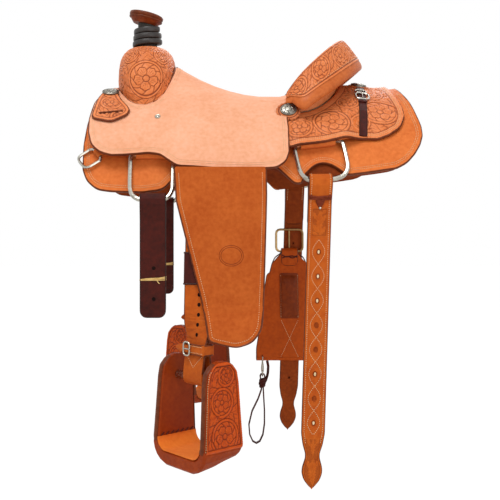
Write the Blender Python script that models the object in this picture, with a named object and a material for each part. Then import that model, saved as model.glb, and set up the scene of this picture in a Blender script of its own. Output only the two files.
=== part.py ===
"""Roping saddle: the tree, the leather on it, the rigging and the stirrups, each piece its own solid.

Sizes are in millimetres and become metres when a mesh is made. X runs from the horn to the cantle, the near
(left) side is at -Y, Z is up, and the origin is on the centreline, above the channel over the horse's spine.
The leather layers lie on one form, two arcs that meet over the spine. A place on it is (x, drop, h): drop is how
far down the side, negative on the near side, and h is the height above the outer face of the skirts. Pieces that
hang are placed by (x, out, z), where out is the distance from the centreline.
"""

import math

import bmesh
import bpy
from mathutils import Vector
from mathutils.geometry import delaunay_2d_cdt

MM = 0.001
GAP = 0.3
SIDES = (("near", -1), ("off", 1))

# The form that the leather lies on
ARC_R = 318.0
ARC_SIDE = 66.0
ARC_Z = -261.0
CAP_HALF = 70.0
REAR_RISE_X = 150.0
REAR_RISE = 20.0
REAR_RISE_LENGTH = 240.0

# Heights of the layers above the skirts
SKIRT_THICK = 6.0
LINING_THICK = 15.0
BAR_TOP = 13.0
GROUND_LOW = 17.2
GROUND_TOP = 21.2
SEAT_LOW = 24.3
SEAT_TOP = 30.0
JOCKEY_THICK = 5.0

# Seat and cantle
SEAT_LOWEST_X = 104.0
SEAT_LOWEST_Z = 49.0
SEAT_CURVE = 0.001515
RIM_X = 150.0
RIM_LENGTH = 114.0
RIM_HALF = 158.0
RIM_LOW = 24.0
RIM_RISE = 147.0

# Swell and horn
SWELL_X = -178.0
SWELL_TOP = 158.5
SWELL_BASE_H = 15.5
COVER_THICK = 4.0
POST_X = -179.0
POST_R = 22.0
WRAP_LOW = 159.9
WRAP_TURNS = 2.75
WRAP_PITCH = 13.9
WRAP_BAND = 13.2
WRAP_THICK = 7.2
CAP_X = -186.0
CAP_LOW = 218.0
CAP_R = 38.5
CAP_TILT = math.radians(13.0)

# Rigging
DEE_WIRE_R = 4.75
FRONT_DEE_X = -157.0
FRONT_DEE_DROP = 268.0
FRONT_DEE_HALF = 43.5
FRONT_DEE_LENGTH = 102.3
REAR_DEE_X = 187.0
REAR_DEE_DROP = 241.0
REAR_DEE_HALF = 51.0
REAR_DEE_LENGTH = 88.2
BREAST_WIRE_R = 3.0
TAB_THICK = 2.2

# Fender and stirrup
HINGE_OUT = 262.0
HINGE_Z = -129.0
SWING_X = -54.5
FENDER_THICK = 5.0
LEATHER_HALF = 28.5
LEATHER_THICK = 4.5
TURN = math.radians(50.0)
BOLT_X = -63.0
BOLT_OUT = 272.0
BOLT_Z = -547.0
BOLT_R = 9.0

# Flank cinch
CINCH_X = 172.0
CINCH_OUT = 234.2
BUCKLE_OUT = 228.4
SNAP_X = 103.0
SNAP_OUT = 229.6

# Colours as seen, with roughness and metallic value
ROUGH_OUT = ("B98F68", 0.9, 0.0)
TOOLED = ("B9814F", 0.55, 0.0)
PLAIN = ("A8754A", 0.6, 0.0)
SUEDE = ("4A2B20", 0.95, 0.0)
DARK = ("3A201A", 0.55, 0.0)
WOOD = ("9C7B52", 0.7, 0.0)
RUBBER = ("2B2523", 0.8, 0.0)
STEEL = ("B9BBBC", 0.25, 1.0)
IRON = ("5B5D60", 0.5, 1.0)


def clear_scene():
    """Empties the file of everything it opens with."""
    for thing in list(bpy.data.objects):
        bpy.data.objects.remove(thing, do_unlink=True)


# Outlines and curves

def mixed(low, high, share):
    """The value that lies the given share of the way from low to high."""
    return low + (high - low) * share


def eased(share):
    """A share held between 0 and 1 and eased at both ends."""
    share = min(1.0, max(0.0, share))
    return share * share * (3 - 2 * share)


def stepped(stops, value):
    """Value read from stops (place, value) with straight lines between them."""
    for (a, low), (b, high) in zip(stops, stops[1:]):
        if value <= b:
            return mixed(low, high, max(0.0, (value - a) / (b - a)))
    return stops[-1][1]


def spaced(start, end, step):
    """Lines between start and end, none on the ends, about step apart."""
    count = max(1, round(abs(end - start) / step))
    return [start + (end - start) * k / count for k in range(1, count)]


def softened(corners, cut=5.0):
    """An outline with each clear corner cut twice, so that it turns softly."""
    points = []
    count = len(corners)
    for i, corner in enumerate(corners):
        here = Vector(corner)
        before = Vector(corners[i - 1]) - here
        after = Vector(corners[(i + 1) % count]) - here
        if before.angle(-after) < math.radians(22):
            points.append(here)
            continue
        reach = min(cut, 0.3 * before.length, 0.3 * after.length)
        one = here + before.normalized() * reach
        two = here + after.normalized() * reach
        points += [one, one * 0.25 + two * 0.25 + here * 0.5, two]
    return [(p.x, p.y) for p in points]


def bowed(start, end, bulge, pieces):
    """Points of a shallow arc from start to end, without its ends; bulge is its rise to the left of that way."""
    start = Vector(start)
    end = Vector(end)
    along = end - start
    left = Vector((-along.y, along.x)).normalized()
    points = []
    for k in range(1, pieces):
        share = k / pieces
        here = start + along * share + left * (bulge * 4 * share * (1 - share))
        points.append((here.x, here.y))
    return points


def ring_outline(x, y, radius, pieces=10, squash=1.0):
    """A round or oval outline."""
    return [(x + radius * math.cos(math.tau * k / pieces), y + radius * squash * math.sin(math.tau * k / pieces))
            for k in range(pieces)]


def arc(x, y, radius, start, end, pieces):
    """Points of an arc round (x, y), angles in degrees."""
    turns = [math.radians(mixed(start, end, k / pieces)) for k in range(pieces + 1)]
    return [(x + radius * math.cos(t), y + radius * math.sin(t)) for t in turns]


class Route:
    """A flat path measured by its length: at(s) gives the point and the left normal at that length."""

    def __init__(self, points):
        self.points = [Vector(p) for p in points]
        self.lengths = [0.0]
        for a, b in zip(self.points, self.points[1:]):
            self.lengths.append(self.lengths[-1] + (b - a).length)
        self.total = self.lengths[-1]
        last = len(self.points) - 1
        self.normals = []
        for i in range(last + 1):
            way = (self.points[min(i + 1, last)] - self.points[max(i - 1, 0)]).normalized()
            self.normals.append(Vector((-way.y, way.x)))

    def at(self, s):
        for i in range(len(self.lengths) - 1):
            if s <= self.lengths[i + 1] + 1e-6:
                share = (s - self.lengths[i]) / (self.lengths[i + 1] - self.lengths[i])
                return (self.points[i].lerp(self.points[i + 1], share),
                        self.normals[i].lerp(self.normals[i + 1], share))
        return self.points[-1], self.normals[-1]


# The form of the leather layers

def rear_rise(x):
    """How far the form climbs towards the rear."""
    return REAR_RISE * (max(0.0, x - REAR_RISE_X) / REAR_RISE_LENGTH) ** 2


def spread(drop, h):
    """Distance from the centreline of the place that lies drop down the side, in the layer h."""
    out = ARC_R + h
    return out * math.sin(math.asin(ARC_SIDE / out) + abs(drop) / ARC_R) - ARC_SIDE


def drop_of(y, h):
    """The drop, without its sign, at which the layer h is y away from the centreline."""
    out = ARC_R + h
    return ARC_R * (math.asin((abs(y) + ARC_SIDE) / out) - math.asin(ARC_SIDE / out))


def height_at(x, y, h):
    """Height of the layer h over the place (x, y), with a round top over the spine."""
    out = ARC_R + h
    edge = max(abs(y), CAP_HALF)
    z = ARC_Z + math.sqrt(out ** 2 - (edge + ARC_SIDE) ** 2)
    if abs(y) < CAP_HALF:
        slope = (CAP_HALF + ARC_SIDE) / math.sqrt(out ** 2 - (CAP_HALF + ARC_SIDE) ** 2)
        z += slope * (CAP_HALF ** 2 - y ** 2) / (2 * CAP_HALF)
    return z + rear_rise(x)


def on_form(x, drop, h):
    """The point at (x, drop, h), on arcs that meet in a ridge over the spine."""
    out = ARC_R + h
    angle = math.asin(ARC_SIDE / out) + abs(drop) / ARC_R
    y = out * math.sin(angle) - ARC_SIDE
    return Vector((x, math.copysign(y, drop), ARC_Z + out * math.cos(angle) + rear_rise(x)))


def seat_rise(x, y):
    """How far the seat stands above its layer: its own curve from swell to cantle and the dish of the cantle."""
    y = abs(y)
    curve = SEAT_LOWEST_Z + SEAT_CURVE * (max(x, -125.0) - SEAT_LOWEST_X) ** 2
    middle = (curve - height_at(0.0, 0.0, SEAT_TOP)) * eased((x + 190.0) / 80.0)
    rise = middle / (1.0 + (y / 92.0) ** 4.5)
    base = height_at(x, y, SEAT_TOP) + rise
    dish = 0.0
    if y < RIM_HALF:
        turn = math.asin(y / RIM_HALF)
        rim_x = RIM_X + RIM_LENGTH * math.cos(turn)
        start = rim_x - 44.0 - 100.0 * math.cos(turn)
        share = min(1.0, max(0.0, (x - start) / (rim_x - 7.0 - start)))
        dish = (rim_height(turn) - base) * share ** 1.9
    if x > 90.0:
        turn = math.atan2(y / RIM_HALF, (x - RIM_X) / RIM_LENGTH)
        inside = (1.0 - math.hypot(y / RIM_HALF, (x - RIM_X) / RIM_LENGTH)) * 140.0
        share = min(1.0, max(0.0, (47.0 - inside) / 40.0))
        fade = eased((math.radians(112) - turn) / math.radians(24))
        dish = max(dish, (rim_height(turn) - base) * share ** 1.9 * fade)
    return rise + max(0.0, dish) * eased((168.0 - y) / 14.0)


def rim_height(turn):
    """Height of the cantle's rim at an angle from the centre back."""
    return RIM_LOW + RIM_RISE * max(0.0, math.cos(turn * 6 / 7)) ** 0.84


def rim_point(turn, offset):
    """Place on the cantle's rim at an angle from the centre back, moved outward by offset, and the rim's height."""
    outward = Vector((math.cos(turn) * RIM_HALF, math.sin(turn) * RIM_LENGTH)).normalized()
    x = RIM_X + RIM_LENGTH * math.cos(turn) + outward.x * offset
    y = RIM_HALF * math.sin(turn) + outward.y * offset
    return x, y, rim_height(turn)


def on_seat(x, drop, h):
    """A point of the seat's layers."""
    y = spread(drop, h)
    z = height_at(x, y, h) + seat_rise(x, spread(drop, SEAT_TOP))
    return Vector((x, math.copysign(y, drop), z))


# Solids

def stand(name, mesh, look, origin=(0.0, 0.0, 0.0), sharp=35.0):
    """Makes the object of a bmesh in millimetres, with its own material and its origin at the given point."""
    bmesh.ops.recalc_face_normals(mesh, faces=mesh.faces)
    origin = Vector(origin)
    for vert in mesh.verts:
        vert.co = (vert.co - origin) * MM
    data = bpy.data.meshes.new(name)
    mesh.to_mesh(data)
    mesh.free()
    data.shade_smooth()
    data.set_sharp_from_angle(angle=math.radians(sharp))
    colour, roughness, metallic = look
    material = bpy.data.materials.new(name)
    material.use_nodes = True
    shader = material.node_tree.nodes["Principled BSDF"]
    channels = [int(colour[i:i + 2], 16) / 255 for i in (0, 2, 4)]
    linear = [c / 12.92 if c <= 0.04045 else ((c + 0.055) / 1.055) ** 2.4 for c in channels]
    shader.inputs["Base Color"].default_value = (*linear, 1.0)
    shader.inputs["Roughness"].default_value = roughness
    shader.inputs["Metallic"].default_value = metallic
    data.materials.append(material)
    thing = bpy.data.objects.new(name, data)
    thing.location = origin * MM
    bpy.context.scene.collection.objects.link(thing)
    return thing


def inside(loop, x, y):
    """Whether (x, y) lies inside an outline."""
    found = False
    for (ax, ay), (bx, by) in zip(loop, loop[1:] + loop[:1]):
        if (ay > y) != (by > y) and x < ax + (bx - ax) * (y - ay) / (by - ay):
            found = not found
    return found


def sheet(outline, place, low, high, holes=(), cuts_x=(), cuts_y=()):
    """A piece cut from flat stock and bent: place(x, y, t) puts the stock's point at height t in space.

    low and high are the heights of the two faces, numbers or functions of (x, y). The stock is split along the
    lines in cuts_x and cuts_y, so that it can bend there.
    """
    points = []
    edges = []
    for loop in (outline, *holes):
        first = len(points)
        points += [Vector(p) for p in loop]
        edges += [(first + i, first + (i + 1) % len(loop)) for i in range(len(loop))]
    left = min(p[0] for p in outline) - 1
    right = max(p[0] for p in outline) + 1
    bottom = min(p[1] for p in outline) - 1
    top = max(p[1] for p in outline) + 1
    for line in cuts_x:
        edges.append((len(points), len(points) + 1))
        points += [Vector((line, bottom)), Vector((line, top))]
    for line in cuts_y:
        edges.append((len(points), len(points) + 1))
        points += [Vector((left, line)), Vector((right, line))]
    flat, _, faces, *_ = delaunay_2d_cdt(points, edges, [], 0, 0.02)
    kept = []
    for face in faces:
        middle = sum((flat[i] for i in face), Vector((0, 0))) / 3
        if inside(outline, *middle) and not any(inside(hole, *middle) for hole in holes):
            kept.append(face)
    low_at = low if callable(low) else lambda x, y: low
    high_at = high if callable(high) else lambda x, y: high
    solid = bmesh.new()
    below = {}
    above = {}
    for i in sorted({i for face in kept for i in face}):
        x, y = flat[i]
        below[i] = solid.verts.new(place(x, y, low_at(x, y)))
        above[i] = solid.verts.new(place(x, y, high_at(x, y)))
    ways = set()
    for face in kept:
        solid.faces.new([above[i] for i in face])
        solid.faces.new([below[i] for i in reversed(face)])
        ways.update(zip(face, face[1:] + face[:1]))
    for a, b in sorted(ways):
        if (b, a) not in ways:
            solid.faces.new((above[b], above[a], below[a], below[b]))
    return solid


def lofted(rings, closed=False):
    """A solid through rings of points; closed joins the last ring to the first, else both ends are filled."""
    solid = bmesh.new()
    rings = [[solid.verts.new(p) for p in ring] for ring in rings]
    pairs = list(zip(rings, rings[1:] + rings[:1])) if closed else list(zip(rings, rings[1:]))
    for one, two in pairs:
        for a, b, c, d in zip(one, one[1:] + one[:1], two[1:] + two[:1], two):
            solid.faces.new((a, d, c, b))
    if not closed:
        solid.faces.new(rings[0])
        solid.faces.new(list(reversed(rings[-1])))
    return solid


def swept(points, section, up, closed=False):
    """Carries a section (across, up) along points."""
    points = [Vector(p) for p in points]
    up = Vector(up)
    last = len(points) - 1
    rings = []
    for i, point in enumerate(points):
        if closed:
            one = (point - points[i - 1]).normalized()
            two = (points[(i + 1) % len(points)] - point).normalized()
        else:
            one = (point - points[max(i - 1, 0)]).normalized()
            two = (points[min(i + 1, last)] - point).normalized()
            one = one if i > 0 else two
            two = two if i < last else one
        way = (one + two).normalized()
        across = way.cross(up).normalized() / max(0.7, way.dot(one))
        rings.append([point + across * a + up * b for a, b in section])
    return lofted(rings, closed)


def round_section(radius, sides):
    """The section of a rod."""
    return [(radius * math.cos(math.tau * (k + 0.5) / sides), radius * math.sin(math.tau * (k + 0.5) / sides))
            for k in range(sides)]


# Leather on the form

def signed(outline, side):
    """An outline in (x, drop) for the given side."""
    return [(x, side * drop) for x, drop in outline]


def skirt_outline():
    """One skirt laid flat: front, fender gap, the arc under the rear dee, round rear corner, up to the spine."""
    front = softened([(-276, 60), (-285, 95), (-297, 162), (-300, 234), (-298, 294), (-289, 319), (-268, 338),
                      (-239, 342), (-176, 344), (-134, 338), (-113, 314), (-95, 290), (95, 285), (105, 292),
                      (135, 324), (148, 325), (160, 302)], 12.0)[:-1]
    rear = softened([(229, 296), (243, 309), (306, 306), (345, 305), (367, 296), (385, 278), (398, 258),
                     (406, 236), (407, 211), (403, 173), (399, 124), (393, 70), (390, 0.3), (244, 0.3),
                     (236, 72), (-190, 72), (-214, 60)], 12.0)[1:]
    return front + bowed((160, 302), (229, 296), -20, 8) + rear


def lining_outline():
    """The lining under one skirt, a little smaller and without the arc."""
    return softened([(-270, 66), (-280, 95), (-291, 162), (-294, 234), (-292, 292), (-283, 314), (-264, 331),
                     (-176, 337), (-136, 331), (-118, 309), (-100, 286), (98, 281), (110, 289), (138, 316),
                     (240, 303), (343, 298), (380, 274), (399, 234), (400, 211), (396, 173), (392, 124),
                     (386, 70), (383, 0.3), (248, 0.3), (240, 76), (-190, 76), (-214, 66)], 14.0)


def skirts():
    """Skirts and their linings, one of each a side."""
    for word, side in SIDES:
        cuts = {"cuts_x": spaced(-300, 150, 150) + spaced(150, 408, 50), "cuts_y": spaced(0, side * 344, 38)}
        stand(word + "_skirt", sheet(signed(skirt_outline(), side), on_form, -SKIRT_THICK, 0.0, **cuts), PLAIN)
        top = -SKIRT_THICK - 3 * GAP
        piece = sheet(signed(lining_outline(), side), on_form, top - LINING_THICK, top, **cuts)
        stand(word + "_skirt_lining", piece, SUEDE)


def bar_top(x, drop):
    """Top of a tree bar: full, but thin at both tips and where the seat dips over it."""
    tip = eased(min(x + 235, 285 - x) / 90)
    drop = abs(drop)
    slack = GROUND_LOW + min(0.0, seat_rise(x, spread(drop, GROUND_LOW))) * 0.95 - 4.5
    return max(2.0, min(mixed(6.0, BAR_TOP, tip), slack))


def tree_bars():
    """The two bars that spread the load over the horse's back."""
    for word, side in SIDES:
        outline = softened([(-235, 36), (-235, 140), (-180, 150), (-110, 150), (60, 148), (170, 140), (262, 135),
                            (285, 110), (285, 34), (200, 30), (130, 80), (60, 88), (-60, 88), (-130, 36)], 22.0)
        piece = sheet(signed(outline, side), on_form, 3 * GAP, bar_top, cuts_x=spaced(-235, 285, 58),
                      cuts_y=spaced(side * 30, side * 150, 20))
        stand(word + "_tree_bar", piece, WOOD)


def swell_share(share, power):
    """A cosine or sine flattened for the swell's plan."""
    return math.copysign(abs(share) ** power, share)


def seat_half():
    """Half of the seat leather: round the swell, front and side jockeys, up to the cantle's roll."""
    points = []
    for k in range(10):
        turn = math.radians(158) * k / 9
        x = SWELL_X + 68.5 * swell_share(math.cos(turn), 0.95)
        points.append((x, drop_of(146.5 * swell_share(math.sin(turn), 0.95), SEAT_TOP)))
    edge = softened([points[-1], (-262, 70), (-270, 90), (-284, 140), (-290, 195), (-288, 231), (-280, 260),
                     (-263, 276), (-239, 283), (-209, 282), (-164, 278), (-140, 281), (-122, 294), (-104, 306),
                     (-74, 307), (-30, 310), (44, 312), (97, 309), (116, 296), (123, 276), (125, 212),
                     (125, 163), (150, 158)], 9.0)[1:-3]
    rim = []
    for k in range(10):
        turn = math.radians(mixed(88, 0, k / 9))
        x, y, z = rim_point(turn, -8.0)
        rim.append((x, drop_of(y, SEAT_TOP)))
    return points + edge + rim


SEAT_CUTS_X = spaced(-290, 110, 33) + spaced(110, 256, 15)
SEAT_CUTS_DROP = spaced(-315, 315, 33)


def seat():
    """The seat leather, one piece with its jockeys, and the ground seat under it."""
    near = [(x, -drop) for x, drop in seat_half()]
    off = [(x, -drop) for x, drop in reversed(near[1:-1])]
    piece = sheet(near + off, on_seat, SEAT_LOW, SEAT_TOP, cuts_x=SEAT_CUTS_X, cuts_y=SEAT_CUTS_DROP)
    stand("seat_leather", piece, ROUGH_OUT)
    near = [(-106, 0.0), (-106, -70), (-100, -120), (-60, -146), (60, -146), (110, -118), (160, -104), (190, -80),
            (204, -40), (208, 0.0)]
    off = [(x, -drop) for x, drop in reversed(near[1:-1])]
    piece = sheet(near + off, on_seat, GROUND_LOW, GROUND_TOP, cuts_x=SEAT_CUTS_X, cuts_y=SEAT_CUTS_DROP)
    stand("ground_seat", piece, WOOD)


def jockey_low(x, drop):
    """Height of the rear jockey's underside: over the bars in front, down on the skirts behind."""
    raised = 15.2 + 4.6 * eased((abs(drop) - 180) / 30) * eased((x - 126) / 24)
    return mixed(raised, 1.0, max(eased((x - 270) / 90), eased((abs(drop) - 150) / 90) * eased((x - 235) / 50)))


def jockey_high(x, drop):
    return jockey_low(x, drop) + JOCKEY_THICK


def rear_jockeys():
    """The tooled leathers behind and beside the cantle."""
    for word, side in SIDES:
        base = []
        for k in range(10):
            turn = math.radians(mixed(0, 97, k / 9))
            x, y, z = rim_point(turn, -6.0)
            base.append((x, max(0.3, drop_of(y, 17.0))))
        edge = softened([base[-1], (112, 172), (110, 259), (200, 249), (275, 232), (291, 232), (312, 236),
                         (339, 228), (363, 211), (375, 181), (376, 154), (372, 114), (368, 64), (365, 0.3),
                         base[0]], 9.0)[3:-3]
        piece = sheet(signed(base + edge + [(365, 0.3)], side), on_form, jockey_low, jockey_high,
                      cuts_x=spaced(128, 376, 31), cuts_y=spaced(0, side * 252, 36))
        stand(word + "_rear_jockey", piece, TOOLED)


# Tree, cantle and horn

def round_cantle(corners, turns):
    """A solid whose section has its corners at (offset from the rim, height of (x, y, rim))."""
    rings = []
    for degrees in turns:
        ring = []
        for offset, height in corners:
            x, y, rim = rim_point(math.radians(degrees), offset)
            ring.append((x, y, height(x, y, rim)))
        rings.append(ring)
    return lofted(rings)


def cantle():
    """Cantle board, the leather on its back and the wide roll over its rim."""
    turns = [-86 + 172 * k / 18 for k in range(19)]

    def foot(x, y, rim):
        return on_form(x, drop_of(y, 15.5), 15.5).z + 4.6

    def below_seat(x, y, rim):
        return max(foot(x, y, rim) + 2, height_at(x, y, SEAT_TOP) + seat_rise(x, y) - 10)

    board = round_cantle([(-34, foot), (-24, below_seat), (-7.5, lambda x, y, rim: rim - 17), (-14.5, foot)],
                         turns)
    stand("tree_cantle", board, WOOD)
    back = round_cantle([(-13.6, foot), (-6.6, lambda x, y, rim: rim - 15), (-2.6, lambda x, y, rim: rim - 15),
                         (-9.6, foot)], turns)
    stand("cantle_back", back, TOOLED)
    section = [(-5, -6), (-4, 0), (0, 3.5), (6, 3), (20, -11), (34, -28), (44, -41), (49, -51), (47, -58),
               (40, -60), (34, -55), (30, -44), (14, -19), (2, -6), (-1, -10)]
    rings = []
    for k in range(31):
        degrees = -102 + 204 * k / 30
        share = abs(degrees) / 60
        size = mixed(1.0, 0.25, eased((abs(degrees) - 84) / 18))
        steep = 1.0 + 0.27 * min(1.0, share)
        ring = []
        for out, up in section:
            x, y, rim = rim_point(math.radians(degrees), out * size / steep)
            ring.append((x, y, rim + up * size * steep))
        rings.append(ring)
    stand("cantle_roll", lofted(rings), TOOLED)


SWELL_LEVELS = ((0.0, 64, 141), (0.25, 64, 141), (0.5, 62.5, 137), (0.68, 60, 128), (0.82, 55, 110),
                (0.92, 47, 83), (0.98, 39, 55), (1.0, 33, 33))


def swell_ring(level, along, across, inset, top):
    """One ring round the swell, at a share of its height above the bars."""
    power = 1.0 - 0.2 * math.sin(math.pi * min(1.0, level / 0.9))
    ring = []
    for k in range(24):
        turn = math.tau * (k + 0.5) / 24
        x = SWELL_X + (along - inset) * swell_share(math.cos(turn), power)
        y = (across - inset) * swell_share(math.sin(turn), power)
        ring.append((x, y, mixed(on_form(x, drop_of(y, SWELL_BASE_H), SWELL_BASE_H).z, top, level)))
    return ring


def swell():
    """The fork of the tree and the leather drawn over it, with a round opening for the horn."""
    inset = COVER_THICK + 1.4
    under = [swell_ring(0.0, 64 * s, 141 * s, inset * s, SWELL_TOP) for s in (0.1, 0.4, 0.7)]
    sides = [swell_ring(level, along, across, inset, SWELL_TOP - inset) for level, along, across in SWELL_LEVELS]
    stand("tree_fork", lofted(under + sides), WOOD)
    outer = [swell_ring(level, along, across, 0.0, SWELL_TOP) for level, along, across in SWELL_LEVELS]
    inner = [swell_ring(level, along, across, COVER_THICK, SWELL_TOP - COVER_THICK)
             for level, along, across in SWELL_LEVELS[:-1]]
    rim = [(x, y, SWELL_TOP - COVER_THICK) for x, y, z in outer[-1]]
    stand("swell_cover", lofted(outer + [rim] + list(reversed(inner)), closed=True), TOOLED)


def horn():
    """Horn post, its wound rubber wrap and the leather cap."""
    turns = [math.tau * k / 16 for k in range(16)]
    low = SWELL_TOP - COVER_THICK
    rings = []
    for z, r in ((low, 31.0), (low + 3.4, 31.0), (low + 5.0, POST_R), (190, POST_R)):
        rings.append([(POST_X + r * math.cos(t), r * math.sin(t), z) for t in turns])
    top = []
    for t in turns:
        x = POST_X + POST_R * math.cos(t)
        top.append((x, POST_R * math.sin(t), CAP_LOW - 0.5 + (CAP_X - x) * math.tan(CAP_TILT)))
    stand("horn_post", lofted(rings + [top]), IRON)

    section = [(0.0, -0.4), (0.4, -0.5), (0.85, -0.5), (1.0, -0.34), (1.0, 0.34), (0.85, 0.5), (0.4, 0.5),
               (0.0, 0.4)]
    count = round(24 * WRAP_TURNS)
    rings = []
    for k in range(count + 1):
        turn = math.tau * k / 24 + 1.2
        z = WRAP_LOW + WRAP_BAND / 2 + WRAP_PITCH * k / 24
        ring = []
        for a, b in section:
            r = POST_R + 0.6 + WRAP_THICK * a
            ring.append(Vector((POST_X + r * math.cos(turn), r * math.sin(turn), z + WRAP_BAND * b)))
        rings.append(ring)
    least = min((a - b).length for k in range(count - 23) for a in rings[k] for b in rings[k + 24])
    print("horn wrap, least gap to itself, mm:", round(least, 2))
    stand("horn_wrap", lofted(rings), RUBBER)

    turns = [math.tau * k / 28 for k in range(28)]
    rings = []
    for z, r in ((0.0, 27.0), (11.0, 36.5), (14.0, 38.0), (14.8, 37.2), (15.6, CAP_R), (21.0, CAP_R),
                 (23.5, CAP_R - 2.5)):
        ring = []
        for t in turns:
            x, y = r * math.cos(t), r * math.sin(t)
            ring.append((CAP_X + x * math.cos(CAP_TILT) + z * math.sin(CAP_TILT), y,
                         CAP_LOW - x * math.sin(CAP_TILT) + z * math.cos(CAP_TILT)))
        rings.append(ring)
    stand("horn_cap", lofted(rings), TOOLED)


# Rigging

def bar_drop(x):
    """Drop at which the rigging leather's fold lies: at the front dee's bar, at the rear one's, between them."""
    stops = [(-200, FRONT_DEE_DROP), (-113, FRONT_DEE_DROP), (136, REAR_DEE_DROP + 6), (238, REAR_DEE_DROP - 6)]
    return stepped(stops, x)


def bar_h(x):
    """Height of the dees' bars above the skirt."""
    return stepped([(-113, 9.6), (136, 10.2)], x)


def fold_points(radius, lower):
    """Path of a leather folded round a bar, in (drop, h) from the bar's centre; lower is the height of its foot."""
    return ([(-58, lower + 3.0), (-27, lower + 3.2), (-13, -0.4)] + arc(0, 0, radius, 135, -90, 5)
            + [(-15, lower), (-30, lower), (-58, lower)])


def rigging():
    """The leather of each side that is folded round both dees' bars."""
    route = Route(fold_points(7.0, -7.0))
    foot = route.total - 40
    outline = [(-189, 0), (-125, 0), (-125, foot), (151, foot), (151, 0), (223, 0), (223, route.total),
               (-189, route.total)]
    for word, side in SIDES:
        def place(x, s, t):
            point, normal = route.at(s)
            here = point + normal * t
            return on_form(x, side * (bar_drop(x) + here.x), bar_h(x) + here.y)

        piece = sheet(outline, place, -TAB_THICK / 2, TAB_THICK / 2, cuts_x=[-113, -50, 20, 90, 136, 187],
                      cuts_y=route.lengths[1:-1])
        stand(word + "_rigging_leather", piece, PLAIN)


def dee_shape(half, length, pieces=14):
    """Centreline of a dee from its bar down, as (along the bar, down), closed, with a full round lower end."""
    points = [(-half + 8, 0), (half - 8, 0), (half - 2.4, 2.4), (half, 8)]
    for k in range(pieces + 1):
        turn = math.pi * k / pieces
        points.append((half * swell_share(math.cos(turn), 0.62),
                       length - half + half * swell_share(math.sin(turn), 0.62)))
    return points + [(-half, 8), (-half + 2.4, 2.4)]


def dee(name, one, two, foot, half, length, wire, sides=7):
    """A dee of wire whose bar runs from one to two, hanging towards foot."""
    middle = (one + two) / 2
    along = (two - one).normalized()
    down = foot - middle
    down = (down - along * down.dot(along)).normalized()
    points = [middle + along * a + down * b for a, b in dee_shape(half, length)]
    solid = swept(points, round_section(wire, sides), along.cross(down), closed=True)
    stand(name, solid, STEEL, origin=middle)


def dees():
    """Front, rear and breast dees, with the leathers of the breast dees."""
    for word, side in SIDES:
        one = on_form(-200.5, side * FRONT_DEE_DROP, 9.6)
        two = on_form(-113.5, side * FRONT_DEE_DROP, 9.6)
        dee(word + "_front_dee", one, two, Vector((FRONT_DEE_X, side * 255.8, -191.0)), FRONT_DEE_HALF,
            FRONT_DEE_LENGTH, DEE_WIRE_R)
        one = on_form(136, side * (REAR_DEE_DROP + 6), 10.2)
        two = on_form(238, side * (REAR_DEE_DROP - 6), 10.2)
        dee(word + "_rear_dee", one, two, Vector((REAR_DEE_X, side * 242.2, -153.0)), REAR_DEE_HALF,
            REAR_DEE_LENGTH, DEE_WIRE_R)

        centre = Vector((-269.5, 262))
        along = Vector((23, 30)).normalized()
        hang = Vector((-30, 23)).normalized()
        flat = [centre + along * a for a in (-17.5, 17.5)] + [centre + hang * 40]
        one, two, foot = [on_form(p.x, side * p.y, 5.6) for p in flat]
        dee(word + "_breast_dee", one, two, foot, 17.5, 41.0, BREAST_WIRE_R, 6)
        route = Route(fold_points(4.3, -4.3))

        def place(x, s, t):
            point, normal = route.at(s)
            here = point + normal * t
            spot = centre + along * x + hang * here.x
            return on_form(spot.x, side * spot.y, 5.6 + here.y)

        outline = [(-9, 24), (9, 24), (9, route.total - 22), (-9, route.total - 22)]
        piece = sheet(outline, place, -0.9, 0.9, cuts_y=[s for s in route.lengths if 24 < s < route.total - 22])
        stand(word + "_breast_tab", piece, PLAIN)


def strap_over(radius, lift, behind, back, before, front):
    """Path in (out, up) of a strap folded over a dee's lower end.

    The back ply rises from -back at -behind, the front ply hangs down to -front at before.
    """
    points = [(-behind, -back), (-behind, -42), (-radius, -8)]
    points += arc(0, lift, radius, 180, 0, 6)
    return points + [(radius, -8), (before, -42), (before, -front)]


def hung(route, x0, out0, z0, side, lean=0.0):
    """Placing function of a strap: x across, s along the route, t through its thickness."""
    def place(x, s, t):
        point, normal = route.at(s)
        here = point + normal * t
        return Vector((x0 + x + lean * min(0.0, here.y), side * (out0 + here.x), z0 + here.y))
    return place


def cinch_straps():
    """Near latigo and off billet on the front dees, flank billets on the rear dees."""
    x0, out0, z0 = FRONT_DEE_X + 4, 255.1, -191.0
    for name, side in (("near_latigo", -1), ("off_billet", 1)):
        route = Route(strap_over(10.0, 2.6, 2.7, 226, 2.7, 236))
        end = route.total
        outline = softened([(-25, 0), (25, 0), (25, end - 8), (18, end), (-18, end), (-25, end - 8)], 3)
        piece = sheet(outline, hung(route, x0, out0, z0, side), -2.4, 2.4, cuts_y=route.lengths[1:-1])
        stand(name, piece, DARK, origin=(x0, side * out0, z0))
    x0, out0, z0 = REAR_DEE_X, 240.0, -153.0
    for word, side in SIDES:
        route = Route(strap_over(10.0, 2.8, 5.6, 92, 0.8, 560) + [(0.8, -625)])
        tip = route.total
        fold = tip - 625
        outline = [(-22.8, 0), (22.8, 0), (22.8, fold + 512)]
        outline += [(19, fold + 535), (13.5, fold + 552), (13.5, fold + 562), (19, fold + 580), (20, fold + 592),
                    (15, fold + 606)]
        outline += [(0, tip)] + [(-x, s) for x, s in reversed(outline[3:])] + [(-22.8, fold + 512)]
        holes = [ring_outline(0, fold + 143 + 49.6 * k, 3.2, 8) for k in range(8)]
        piece = sheet(outline, hung(route, x0, out0, z0, side, 0.03), -3.0, 3.0, holes=holes,
                      cuts_y=route.lengths[1:-1])
        stand(word + "_flank_billet", piece, PLAIN, origin=(x0, side * out0, z0))


# Flank cinch, off side

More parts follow.
